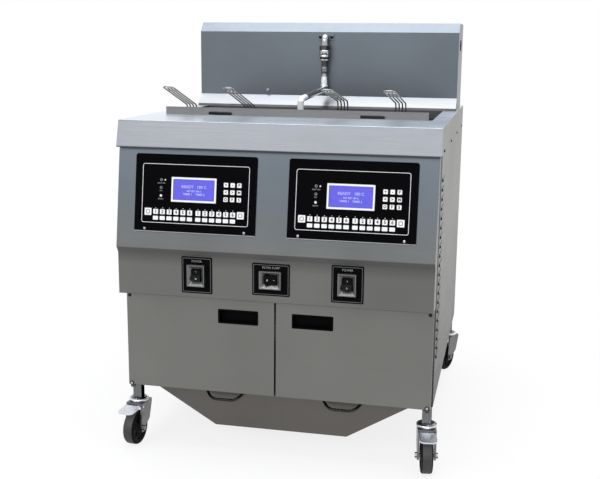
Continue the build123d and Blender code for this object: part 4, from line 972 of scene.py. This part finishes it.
class FRYER_OT_overlays(bpy.types.Operator):
    """Prints the control overlays: borders, keys, lamps and legends"""
    bl_idname = "fryer.overlays"
    bl_label = "Print the Control Overlays"

    # Places and sizes on an overlay, in millimetres from its middle
    KEY_GRID = [(86.5 + 18.5 * i, 30.8 - 19.5 * j) for j in range(3) for i in range(3)]
    GRID_SIGNS = ("+", "-", "P", "<", ">", "M", "O", "F", "S")
    NUMBER_X = [-110.5 + 19.5 * i for i in range(6)] + [10.5 + 19.5 * i for i in range(6)]
    NUMBER_Y, LOWER_Y, TICK_Y = -48.7, -66.0, -38.2
    END_PLACES = ((-132.5, -49.5), (129.5, -49.5))
    GRID_KEY, NUMBER_KEY, LOWER_KEY, END_KEY = (12.0, 12.0), (13.8, 13.6), (14.6, 10.6), (19.4, 19.4)
    KEY_CORNER = 1.6
    GRID_SIGN, NUMBER_SIGN = 10.5, 12.5
    SIGN_WEIGHT = 0.00035
    LAMP_X = -97
    LAMPS = ((38.3, "HEAT ON"), (17.3, "FRY"), (-4.7, "READY"))
    LAMP_WORDS, LAMP_WORDS_DROP = 5.0, 9.0
    DOTS, DOT_CORNER = ((-97, -4.7, 6.0), (-86, 38.3, 4.0)), 0.48

    # Width, height and corner of flat shapes, for lines also line width and thickness
    TRIM, TRIM_Y = (342, 2, 0.9), -103
    BORDER, BORDER_Y = (302, 161, 6), 1.3
    TICK = (1.8, 1.8, 0.8)
    BEZEL = (127, 67, 1.5, 5, 0.5)
    LAMP_RING = (7, 7, 3.4, 1.2, 0.2)
    END_RING = (11, 11, 3, 1.5, 0.2)

    def key_meshes(self, side, tree, rise):
        """The raised keys of one overlay with the signs on them."""
        dark = FINISHES["legend"]
        caps = (
            ("grid", self.KEY_GRID, self.GRID_KEY),
            ("numbers", [(x, self.NUMBER_Y) for x in self.NUMBER_X], self.NUMBER_KEY),
            ("lower", [(x, self.LOWER_Y) for x in self.NUMBER_X], self.LOWER_KEY),
            ("ends", self.END_PLACES, self.END_KEY),
        )
        for label, places, (width, height) in caps:
            points = points_mesh(f"keys_{label}", [(x * MM, y * MM, 0) for x, y in places])
            mesh = grown(f"keys_{label}_{side}", tree, {
                "Width": width * MM, "Height": height * MM, "Corner": self.KEY_CORNER * MM, "Rise": rise,
                "Material": FINISHES["print"]}, points)
            yield placed(mesh, overlay_matrix(side, 0, 0))
        signs = [(x, y, text, self.GRID_SIGN) for (x, y), text in zip(self.KEY_GRID, self.GRID_SIGNS)]
        signs += [(x, self.NUMBER_Y, str(i % 6 + 1), self.NUMBER_SIGN) for i, x in enumerate(self.NUMBER_X)]
        for x, y, text, size in signs:
            sign = lettering("sign", text, size * MM, dark, self.SIGN_WEIGHT)
            yield placed(sign, overlay_matrix(side, x, y, rise))
        for x, y in self.END_PLACES:
            yield placed(line_ring("end_mark", *mm(*self.END_RING), dark), overlay_matrix(side, x, y, rise))

    def print_meshes(self, side, line):
        """The flat prints of one overlay: trim, border, display bezel, lamps and ticks."""
        white, grey = FINISHES["print"], FINISHES["plate_print"]
        trim = plate("trim", rounded_outline(*mm(*self.TRIM)), 0, RAISED, FINISHES["fitting"])
        yield placed(trim, overlay_matrix(side, 0, self.TRIM_Y))
        border = line_ring("border", *mm(*self.BORDER), line, PRINT, white)
        yield placed(border, overlay_matrix(side, 0, self.BORDER_Y))
        bezel = line_ring("bezel", *mm(*self.BEZEL), white)
        yield placed(bezel, overlay_matrix(side, DISPLAY_X / MM, DISPLAY_RISE / MM))
        for y, words in self.LAMPS:
            yield placed(line_ring("lamp", *mm(*self.LAMP_RING), grey), overlay_matrix(side, self.LAMP_X, y))
            yield placed(lettering("lamp_label", words, self.LAMP_WORDS * MM, grey),
                         overlay_matrix(side, self.LAMP_X, y - self.LAMP_WORDS_DROP, WORD_LIFT))
        for x, y, size in self.DOTS:
            outline = rounded_outline(*mm(size, size, self.DOT_CORNER * size))
            dot = plate("lamp_dot", outline, 0, RAISED, white)
            yield placed(dot, overlay_matrix(side, x, y))
        for x in self.NUMBER_X:
            tick = plate("tick", rounded_outline(*mm(*self.TICK)), 0, PRINT, white)
            yield placed(tick, overlay_matrix(side, x, self.TICK_Y))

    def execute(self, context):
        c = context.scene.fryer_controls
        tree = key_tree()
        keys = [mesh for side in SIDES for mesh in self.key_meshes(side, tree, c.key_rise)]
        prints = [mesh for side in SIDES for mesh in self.print_meshes(side, c.line)]
        piece("overlay_keys", merged("overlay_keys", keys), CABINET)
        piece("overlay_prints", merged("overlay_prints", prints), CABINET)
        return {"FINISHED"}


class FRYER_OT_displays(bpy.types.Operator):
    """Lights plain words and numbers on the two displays"""
    bl_idname = "fryer.displays"
    bl_label = "Light the Displays"

    # Height from the display's middle and letter size in millimetres, and the words
    LINES = ((8.0, 11.0, "READY   180 C"), (-3.5, 6.5, "VAT SET 180 C"), (-12.0, 7.5, "TIMER 1    TIMER 2"))
    WEIGHT = 0.0002

    def execute(self, context):
        meshes = []
        for side in SIDES:
            for y, size, text in self.LINES:
                line = lettering("display_line", text, size * MM, FINISHES["glass_text"], self.WEIGHT)
                rise = OVERLAY_RISE + DISPLAY_RISE + y * MM
                meshes.append(placed(line, face_matrix(side * OVERLAY_X + DISPLAY_X, rise, DISPLAY_PROUD)))
        piece("display_text", merged("display_text", meshes), CABINET)
        return {"FINISHED"}


class FRYER_OT_switches(bpy.types.Operator):
    """Prints the switch plates and marks the rockers"""
    bl_idname = "fryer.switches"
    bl_label = "Label the Switches"

    # Millimetres: the plate's border line, the housing's half height, the words
    LINE_INSET, LINE_CORNER = 7, 2.5
    UPRIGHT_HALF, TURNED_HALF = 30, 24.5
    WORDS, WORDS_GAP = 8.5, 4

    # Millimetres: the rocker's marks and its two slopes, which rise from the middle
    MARKS = ((9.5, "|"), (-9.5, "O"))
    MARK_SIZE = 6
    ROCKER_MIDDLE = 6
    SLOPE_RISE, SLOPE_RUN = 3, 17

    def marks(self, x, turned):
        """The two marks of a rocker that is tipped and, for the pump, lies on its side."""
        spin = Matrix.Rotation(-QUARTER, 4, "Z") if turned else Matrix.Identity(4)
        tilt = Matrix.Rotation(-ROCKER_TILT, 4, "X")
        pivot = front_matrix(x, ROCKER_PIVOT_Y, ROCKER_Z) @ spin @ tilt
        for y, text in self.MARKS:
            mark = lettering("rocker_mark", text, self.MARK_SIZE * MM, FINISHES["print"])
            rise = self.ROCKER_MIDDLE + abs(y) * self.SLOPE_RISE / self.SLOPE_RUN
            lift = Matrix.Translation((0, y * MM, rise * MM + WORD_LIFT))
            slope = math.copysign(math.atan2(self.SLOPE_RISE, self.SLOPE_RUN), y)
            yield placed(mark, pivot @ lift @ Matrix.Rotation(slope, 4, "X"))

    def execute(self, context):
        line = context.scene.fryer_controls.line
        front = STRIP_Y - PLATE_PROUD
        prints = []
        for name, x, (width, height), words in SWITCHES:
            turned = words != "POWER"
            inset = self.LINE_INSET * MM
            ring = line_ring("plate_line", width - inset, height - inset, self.LINE_CORNER * MM, line, PRINT,
                             FINISHES["line_print"])
            prints.append(placed(ring, front_matrix(x, front, SWITCH_Z)))
            top = ROCKER_Z + (self.TURNED_HALF if turned else self.UPRIGHT_HALF) * MM
            words_z = (top + SWITCH_Z + height / 2 - self.WORDS_GAP * MM) / 2
            prints.append(placed(lettering("plate_label", words, self.WORDS * MM, FINISHES["plate_print"]),
                                 front_matrix(x, front, words_z)))
            marks = merged(f"{name}_rocker_marks", self.marks(x, turned))
            piece(f"{name}_rocker_marks", marks, f"{name}_rocker")
        piece("switch_labels", merged("switch_labels", prints), CABINET)
        return {"FINISHED"}


class FRYER_OT_faucet(bpy.types.Operator):
    """Turns the faucet elbow with its flange and the ringed oil spout"""
    bl_idname = "fryer.faucet"
    bl_label = "Turn the Faucet"

    # Turned profiles: height or depth and radius in millimetres
    BOLT = ((-0.4, 5.5), (2.2, 5.5), (4, 4.4), (5, 2.2), (5.2, 0.1))
    WASHER = ((1155, 8), (1155, 12), (1157, 13.5), (1159.5, 12.5), (1160, 8))
    COLLAR = ((1141.8, 8.5), (1141.8, 14.5), (1139, 16.5), (1128, 16.5), (1126.5, 15.6), (1125, 16.5),
              (1120, 16.5), (1118.5, 15), (1118.5, 8.5))
    GROOVE = ((1118.5, 8), (1118.5, 14.6), (1112, 14.6), (1112, 8))
    FOOT = ((1112, 8), (1112, 15.5), (1111, 16.5), (1108.5, 16.5), (1107, 14.5), (1107, 8))
    SLEEVE = ((1107, 4), (1107, 9.4), (1088, 9.4), (1088, 4))
    RING = ((1088, 4), (1088, 9.6), (1086, 10.5), (1079, 10.5), (1077.5, 9.4), (1076, 10.5), (1068, 10.5),
            (1066, 9.4), (1066, 4))
    NECK = ((1066, 4), (1066, 7.9), (1056, 8.4), (1056, 4))
    BODY = ((1056, 4), (1056, 8.6), (1046, 9.8), (1030, 10.2), (1030, 4))
    BEAD = ((1030, 8), (1029, 11.2), (1026, 11.8), (1023, 11.2), (1022, 8))
    MOUTH = ((958, 10), (985, 10), (985, 8), (958, 8))
    # The body, bead and mouth are pale: a painted white reflection
    SPOUT_PROFILES = (
        (COLLAR, "fitting"), (GROOVE, "dark"), (FOOT, "fitting"), (SLEEVE, "nut"), (RING, "housing"),
        (NECK, "fitting"), (BODY, "pale"), (BEAD, "pale"))

    # Flange with its two bolts, elbow and nut
    FLANGE, FLANGE_DEPTH, FLANGE_EDGE = (0.054, 0.022, 0.003), 0.003, 0.0006
    BOLT_X = 0.019
    ELBOW_RADIUS, ELBOW_BEND, ELBOW_END = 0.011, 0.014, 1.14
    NUT_RADIUS, NUT_LOW, NUT_HIGH, NUT_EDGE = 0.0172, 1.1422, 1.155, 0.0008

    # Spout's arm: where it starts and turns, its knee, and the nozzle's share of it; the nozzle is pale, a
    # painted white reflection
    ARM_RADIUS, ARM_BEND = 0.0099, 0.022
    ARM_START, ARM_TURN, KNEE_Z = 1.04, 1.016, 0.99
    NOZZLE_SHARE = 0.2
    NOZZLE_END = 0.018

    def turned(self, profile, finish, place):
        """A piece turned about the upright line at a place."""
        mesh = lathe("turned", profile, FINISHES[finish], segments=48)
        return placed(mesh, Matrix.Translation(place) @ TO_UPRIGHT)

    def elbow(self, swivel):
        """The flange with its bolts, the elbow, and the nut with its washer."""
        flange = plate("flange", rounded_outline(*self.FLANGE), 0, self.FLANGE_DEPTH, FINISHES["sheet"],
                       self.FLANGE_EDGE)
        yield placed(flange, front_matrix(0, SPLASH_Y, FAUCET_Z))
        for side in SIDES:
            # The flange bolts carry a painted glint on their tops
            bolt = lathe("bolt", self.BOLT, FINISHES["bolt"], segments=24, closed=False)
            spot = Matrix.Translation((side * self.BOLT_X, SPLASH_Y - self.FLANGE_DEPTH, FAUCET_Z))
            yield placed(bolt, spot @ TO_FRONT)
        bends = [(0, SPLASH_Y, FAUCET_Z), (0, SPOUT_Y, FAUCET_Z), (0, SPOUT_Y, self.ELBOW_END)]
        yield rod("elbow", bends, self.ELBOW_RADIUS, self.ELBOW_BEND, FINISHES["fitting"])
        nut = plate("nut", hexagon(self.NUT_RADIUS), self.NUT_LOW, self.NUT_HIGH, FINISHES["nut"],
                    self.NUT_EDGE)
        yield placed(nut, Matrix.Translation(swivel))
        yield self.turned(self.WASHER, "fitting", swivel)

    def spout(self, swivel):
        """The turned rings along the swivel line, the arm, and the nozzle with its mouth."""
        for profile, finish in self.SPOUT_PROFILES:
            yield self.turned(profile, finish, swivel)
        x, y, low = SPOUT_TIP
        turn = Vector((0, SPOUT_Y, self.ARM_TURN))
        knee = Vector((x, y, self.KNEE_Z))
        start = knee.lerp(turn, self.NOZZLE_SHARE)
        for name, bends, finish in (("arm", [(0, SPOUT_Y, self.ARM_START), turn, start], "fitting"),
                                    ("nozzle", [start, knee, (x, y, low + self.NOZZLE_END)], "pale")):
            yield rod(name, bends, self.ARM_RADIUS, self.ARM_BEND, FINISHES[finish])
        yield self.turned(self.MOUTH, "pale", (x, y, 0))

    def execute(self, context):
        swivel = (0, SPOUT_Y, 0)
        elbow = merged("faucet_fitting", self.elbow(swivel))
        piece("faucet_fitting", elbow, CABINET, ("faucet_elbow",))
        spout = merged("spout_fitting", self.spout(swivel))
        piece("spout_fitting", spout, "oil_spout", ("oil_spout",))
        return {"FINISHED"}


class FRYER_OT_door_bolts(bpy.types.Operator):
    """Sets the washers and bolts at the outer corners of the doors"""
    bl_idname = "fryer.door_bolts"
    bl_label = "Set the Door Bolts"

    # Turned profiles: depth and radius in millimetres
    WASHER = ((-0.4, 6.4), (0.9, 6.4), (1.4, 5.8), (1.4, 0.1))
    DOME = ((1.0, 3.9), (2.4, 3.5), (3.0, 2.3), (3.2, 0.1))
    BOLT_X = 0.4265
    LOW_INSET = 0.0045
    TOP_INSET = 0.0062
    TOP_SHARE = 0.8

    def execute(self, context):
        for side, body in zip(SIDES, ("left_door", "right_door")):
            low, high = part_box(body)
            bolts = []
            # The upper bolts are a dark, smaller copy of the lower ones: painted shade under the console strip
            for z, finish, share in ((low.z + self.LOW_INSET, "fitting", 1.0),
                                     (high.z - self.TOP_INSET, "dark", self.TOP_SHARE)):
                place = Matrix.Translation((side * self.BOLT_X, low.y, z)) @ TO_FRONT
                for profile, look in ((self.WASHER, "dark"), (self.DOME, finish)):
                    bolt = lathe("door_bolt", profile, FINISHES[look], segments=32, closed=False, share=share)
                    bolts.append(placed(bolt, place))
            piece(f"{body}_bolts", merged(f"{body}_bolts", bolts), body)
        return {"FINISHED"}


class FRYER_OT_screws(bpy.types.Operator):
    """Sets the cross head screws and the lone bolt"""
    bl_idname = "fryer.screws"
    bl_label = "Set the Screws"

    # A screw head: levels of its dome and its cross, as shares of the height and the radius
    RADIUS = 0.004
    HEIGHT = 0.0025
    DOME = ((0.0, 1.0), (0.35, 1.0), (0.72, 0.86), (1.0, 0.62))
    DOME_STEPS = 20
    ARM_LENGTH, ARM_HALF_WIDTH = 0.46, 0.12
    RECESS_SHARE, RECESS_FLOOR = 0.8, 0.35

    # Screws below each overlay and along each side panel
    OVERLAY_SCREW_X, OVERLAY_SCREW_DROP = 0.141, 0.096
    SIDE_SCREWS, SIDE_SCREW_Y, SIDE_SCREW_RUN, SIDE_SCREW_Z = 4, -0.377, 0.839, 0.886

    # The lone bolt on the splash back
    BOLT_RADIUS, BOLT_HEIGHT, BOLT_EDGE = 0.0055, 0.0045, 0.0006
    BOLT_X, BOLT_Z = -0.198, 1.008

    def cross_head(self):
        """A domed screw head with a cross recess, standing on the XY plane."""
        build = bmesh.new()
        angles = [2 * math.pi * i / self.DOME_STEPS for i in range(self.DOME_STEPS)]
        rings = []
        for height, share in self.DOME:
            out, z = self.RADIUS * share, self.HEIGHT * height
            rings.append([build.verts.new((out * math.cos(a), out * math.sin(a), z)) for a in angles])
        for a, b in zip(rings, rings[1:]):
            band(build, a, b)
        build.faces.new(rings[0])
        arm, half = self.RADIUS * self.ARM_LENGTH, self.RADIUS * self.ARM_HALF_WIDTH
        corners = [(half, half), (half, arm), (-half, arm), (-half, half), (-arm, half), (-arm, -half),
                   (-half, -half), (-half, -arm), (half, -arm), (half, -half), (arm, -half), (arm, half)]
        upper = [build.verts.new((x, y, self.HEIGHT)) for x, y in corners]
        share, z = self.RECESS_SHARE, self.HEIGHT * self.RECESS_FLOOR
        lower = [build.verts.new((x * share, y * share, z)) for x, y in corners]
        rim = [build.edges.get(pair) for pair in zip(rings[-1], rings[-1][1:] + rings[-1][:1])]
        slot = [build.edges.new(pair) for pair in zip(upper, upper[1:] + upper[:1])]
        bmesh.ops.triangle_fill(build, use_beauty=True, edges=rim + slot)
        band(build, upper, lower)
        build.faces.new(lower)
        return mesh_from(build, "cross_head", FINISHES["fitting"])

    def places(self):
        """Places and directions of the screws at the overlays, and of those at the side panels."""
        overlay, panel = [], []
        for side in SIDES:
            for end in SIDES:
                x = side * OVERLAY_X + end * self.OVERLAY_SCREW_X
                spot = face_matrix(x, OVERLAY_RISE - self.OVERLAY_SCREW_DROP, OVERLAY_PROUD)
                overlay.append((spot.translation, FACE_OUT))
            for i in range(self.SIDE_SCREWS):
                y = self.SIDE_SCREW_Y + i * self.SIDE_SCREW_RUN / (self.SIDE_SCREWS - 1)
                panel.append((Vector((side * SIDE_X, y, self.SIDE_SCREW_Z)), Vector((side, 0, 0))))
        return overlay, panel

    def execute(self, context):
        fastener = linked("cross_head", self.cross_head())
        tree = fastener_tree()
        screws = []
        for places, finish in zip(self.places(), ("fitting", "dark")):
            seed = points_mesh("screw_places", [spot for spot, _ in places])
            seed.attributes.new("facing", "FLOAT_VECTOR", "POINT").data.foreach_set(
                "vector", [value for _, direction in places for value in direction])
            screws.append(grown("screws", tree, {"Fastener": fastener, "Material": FINISHES[finish]}, seed))
        bpy.data.objects.remove(fastener)
        bolt = plate("bolt", hexagon(self.BOLT_RADIUS), 0, self.BOLT_HEIGHT, FINISHES["fitting"],
                     self.BOLT_EDGE)
        screws.append(placed(bolt, front_matrix(self.BOLT_X, SPLASH_Y, self.BOLT_Z)))
        heads = merged("panel_screw_heads", screws)
        piece("panel_screw_heads", heads, CABINET, ("panel_screws",))
        return {"FINISHED"}


class FRYER_OT_louvres(bpy.types.Operator):
    """Presses the louvre hoods of the side panels"""
    bl_idname = "fryer.louvres"
    bl_label = "Press the Louvres"

    # One hood: its size, its narrowing to the back, and its steps along and round
    LENGTH = 0.09
    HEIGHT = 0.010
    PROUD = 0.0036
    WALL = 0.0008
    NARROWING = 0.3
    STEPS_ALONG, STEPS_ROUND = 14, 10

    # The column of hoods on each side panel
    COUNT, PITCH = 20, 0.0257
    START_Y, START_Z = -0.362, 0.3225

    def hood(self, side):
        """A half-round scoop that opens to the front and runs out into the panel at the back."""
        build = bmesh.new()
        along, around = self.STEPS_ALONG, self.STEPS_ROUND
        angles = [math.pi * j / around for j in range(around + 1)]

        def row(t, shrink):
            """Points round the scoop at a share of its length."""
            out = side * (self.PROUD - shrink) * math.sqrt(1 - t ** 3)
            half = (self.HEIGHT / 2 - shrink) * (1 - self.NARROWING * t)
            y = (t - 0.5) * self.LENGTH
            return [build.verts.new((out * math.sin(a), y, half * math.cos(a))) for a in angles]

        outer = [row(i / along, 0.0) for i in range(along + 1)]
        inner = [row(i / along, self.WALL) for i in range(along)] + outer[-1:]
        for shell in (outer, inner):
            for a, b in zip(shell, shell[1:]):
                for j in range(around):
                    build.faces.new((a[j], a[j + 1], b[j + 1], b[j]))
        for end in (0, around):
            for i in range(along):
                corners = (outer[i][end], outer[i + 1][end], inner[i + 1][end], inner[i][end])
                build.faces.new(list(dict.fromkeys(corners)))
        for j in range(around):
            build.faces.new((outer[0][j], outer[0][j + 1], inner[0][j + 1], inner[0][j]))
        return mesh_from(build, "hood", FINISHES["side"], True)

    def execute(self, context):
        tree = louvre_tree()
        meshes = []
        for side in SIDES:
            hood = linked("hood", self.hood(side))
            meshes.append(grown("louvres", tree, {
                "Hood": hood, "Count": self.COUNT, "Start": (side * SIDE_X, self.START_Y, self.START_Z),
                "Pitch": self.PITCH, "Material": FINISHES["side"]}))
            bpy.data.objects.remove(hood)
        piece("side_louvres", merged("side_louvres", meshes), CABINET)
        return {"FINISHED"}


class FRYER_OT_wheels(bpy.types.Operator):
    """Turns the caster wheels, tyre and ribbed hub, and the rings of the swivels"""
    bl_idname = "fryer.wheels"
    bl_label = "Turn the Wheels"

    # Turned profiles: axial place or height, and radius, in millimetres
    TYRE = ((-16, 38.5), (-16, 44.5), (-15, 47.6), (-12.5, 49.5), (-9, 50), (9, 50), (12.5, 49.5), (15, 47.6),
            (16, 44.5), (16, 38.5), (13, 37.6), (-13, 37.6))
    HUB = ((-14.2, 38.2), (-15, 36.6), (-15, 35.4), (-11.3, 34.6), (-11, 17), (-15.6, 15), (-16, 13.6),
           (-16, 5.1), (16, 5.1), (16, 13.6), (15.6, 15), (11, 17), (11.3, 34.6), (15, 35.4), (15, 36.6),
           (14.2, 38.2))
    RING = ((127.5, 24), (127.5, 27.9), (129, 28.8), (132, 28.8), (133.5, 27.9), (133.5, 22))
    TREAD_RADIUS = 0.0496
    RIBS = {"Count": 8, "Inner": 0.0155, "Outer": 0.0352, "Width": 0.0026, "Depth": 0.004}
    RIB_SIDE = 0.0125

    def wheel(self, name, tree):
        """A tyre with its worn tread and its ribbed hub, about the X axis."""
        tyre = lathe("tyre", self.TYRE, FINISHES["rubber"], segments=96)
        tyre.materials.append(FINISHES["tread"])
        for face in tyre.polygons:
            face.material_index = int(face.center.yz.length > self.TREAD_RADIUS)
        hub = lathe("hub", self.HUB, FINISHES["hub"], segments=72)
        ribs = [grown("ribs", tree, {**self.RIBS, "Side": end * self.RIB_SIDE, "Material": FINISHES["hub"]})
                for end in SIDES]
        return merged(f"{name}_wheel_mesh", [tyre, hub, *ribs])

    def execute(self, context):
        tree = spoke_tree()
        for name, x, y, turn in CASTERS:
            swivel = Matrix.Translation((x, y, 0))
            axle = Matrix.Translation((0, -TRAIL, WHEEL_RADIUS))
            turned = swivel @ Matrix.Rotation(math.radians(turn), 4, "Z")
            wheel = placed(self.wheel(name, tree), turned @ axle)
            piece(f"{name}_tyre_and_hub", wheel, f"{name}_wheel", (f"{name}_wheel",))
            ring = placed(lathe("ring", self.RING, FINISHES["pedal"]), swivel @ TO_UPRIGHT)
            piece(f"{name}_swivel_ring", ring, f"{name}_fork")
        return {"FINISHED"}


class FRYER_OT_stage(bpy.types.Operator):
    """Sets up the floor, the lamps, the white surroundings and the camera"""
    bl_idname = "fryer.stage"
    bl_label = "Set the Stage"

    FLOOR_SIZE = 30

    # Name, power setting, place, target, size and tint
    LAMPS = (
        ("Top lamp", "top_lamp", (0, -0.2, 3.4), (0, 0, 0.5), (3.0, 2.4), (0.94, 0.97, 1.0)),
        ("Front lamp", "front_lamp", (-0.6, -4.6, 3.0), (0, 0, 0.8), (7.0, 1.8), (0.95, 0.98, 1.0)),
        ("Side lamp", "side_lamp", (3.6, 2.2, 1.6), (0.3, 0, 0.6), (1.6, 2.4), (1.0, 0.99, 0.97)),
    )

    def seen(self, wiring):
        """One for rays that show the surroundings: camera, glossy and transmission rays."""
        path = wiring.add("ShaderNodeLightPath").outputs
        shown = wiring.math("MAXIMUM", path["Is Camera Ray"], path["Is Glossy Ray"])
        return wiring.math("MAXIMUM", shown, path["Is Transmission Ray"])

    def floor(self, tint):
        """A pale floor that goes over into plain white away from the part."""
        build = bmesh.new()
        bmesh.ops.create_grid(build, x_segments=2, y_segments=2, size=self.FLOOR_SIZE)
        material, wiring, shader = blank_material("Studio floor")
        shader.inputs["Base Color"].default_value = rgba(tint)
        shader.inputs["Roughness"].default_value = 0.8
        shader.inputs["Specular IOR Level"].default_value = 0.1
        distance = wiring.add("ShaderNodeVectorMath", {0: wiring.place()}, operation="LENGTH").outputs["Value"]
        whiter = wiring.ramp(distance, start=0.5, end=1.3, low=0.82)
        share = wiring.math("MULTIPLY", whiter, self.seen(wiring))
        white = wiring.add("ShaderNodeEmission").outputs[0]
        mix = wiring.add("ShaderNodeMixShader", {0: share, 1: shader.outputs[0], 2: white})
        wiring.link(mix.outputs[0], wiring.tree.nodes["Material Output"].inputs[0])
        linked("studio_floor", mesh_from(build, "studio_floor", material))

    def world(self, scene, room):
        """White surroundings that light the part more softly than they look."""
        world = bpy.data.worlds.new("Studio")
        world.use_nodes = True
        wiring = Wiring(world.node_tree)
        background = world.node_tree.nodes["Background"].inputs
        background["Color"].default_value = (1, 1, 1, 1)
        wiring.link(wiring.ramp(self.seen(wiring), low=room), background["Strength"])
        scene.world = world

    def lamp(self, name, energy, place, target, size, tint):
        """A wide soft lamp that the camera does not see."""
        light = bpy.data.lights.new(name, "AREA")
        light.shape = "RECTANGLE"
        light.size, light.size_y = size
        light.energy = energy
        light.color = tint
        lamp = linked(name, light)
        lamp.location = place
        lamp.rotation_euler = (Vector(target) - Vector(place)).to_track_quat("-Z", "Y").to_euler()
        lamp.visible_camera = False

    def camera(self, scene):
        """The camera at the place and with the turns of the picture."""
        yaw, pitch, roll = CAMERA_YAW, CAMERA_PITCH, CAMERA_ROLL
        forward = Vector((-math.sin(yaw) * math.cos(pitch), math.cos(yaw) * math.cos(pitch), -math.sin(pitch)))
        level = Vector((math.cos(yaw), math.sin(yaw), 0))
        above = level.cross(forward)
        right = level * math.cos(roll) + above * math.sin(roll)
        up = above * math.cos(roll) - level * math.sin(roll)
        data = bpy.data.cameras.new("Camera")
        data.sensor_width = CAMERA_SENSOR
        data.lens = CAMERA_LENS
        data.clip_start, data.clip_end = 0.05, 100
        turn = Matrix((right, up, -forward)).transposed().to_4x4()
        scene.camera = linked("Camera", data)
        scene.camera.matrix_world = Matrix.Translation(CAMERA_PLACE) @ turn

    def execute(self, context):
        settings = context.scene.fryer_stage
        self.floor(settings.floor)
        self.world(context.scene, settings.room)
        for name, setting, *rest in self.LAMPS:
            self.lamp(name, getattr(settings, setting), *rest)
        self.camera(context.scene)
        context.scene.view_settings.view_transform = "Standard"
        return {"FINISHED"}


STEPS = (FRYER_OT_finishes, FRYER_OT_baskets, FRYER_OT_overlays, FRYER_OT_displays, FRYER_OT_switches,
         FRYER_OT_faucet, FRYER_OT_door_bolts, FRYER_OT_screws, FRYER_OT_louvres, FRYER_OT_wheels,
         FRYER_OT_stage)
SETTINGS = {
    "fryer_finishes": FryerFinishes,
    "fryer_baskets": FryerBaskets,
    "fryer_controls": FryerControls,
    "fryer_stage": FryerStage,
}


class FRYER_PT_panel(bpy.types.Panel):
    """Lists the fryer's build steps and settings"""
    bl_idname = "FRYER_PT_panel"
    bl_label = "Two-Vat Fryer"
    bl_space_type = "VIEW_3D"
    bl_region_type = "UI"
    bl_category = "Fryer"

    def draw(self, context):
        for step in STEPS:
            self.layout.operator(step.bl_idname)
        for group in SETTINGS:
            settings = getattr(context.scene, group)
            for key in settings.__annotations__:
                self.layout.prop(settings, key)


CLASSES = (*SETTINGS.values(), *STEPS, FRYER_PT_panel)


def register():
    """Makes the settings, operators and panel known to Blender."""
    for cls in CLASSES:
        bpy.utils.register_class(cls)
    for name, cls in SETTINGS.items():
        setattr(bpy.types.Scene, name, bpy.props.PointerProperty(type=cls))


def unregister():
    """Takes the settings, operators and panel away again."""
    for name in SETTINGS:
        delattr(bpy.types.Scene, name)
    for cls in reversed(CLASSES):
        bpy.utils.unregister_class(cls)


def main():
    """Builds the dressed fryer."""
    register()
    for step in STEPS:
        area, action = step.bl_idname.split(".")
        getattr(getattr(bpy.ops, area), action)()


if __name__ == "__main__":
    main()
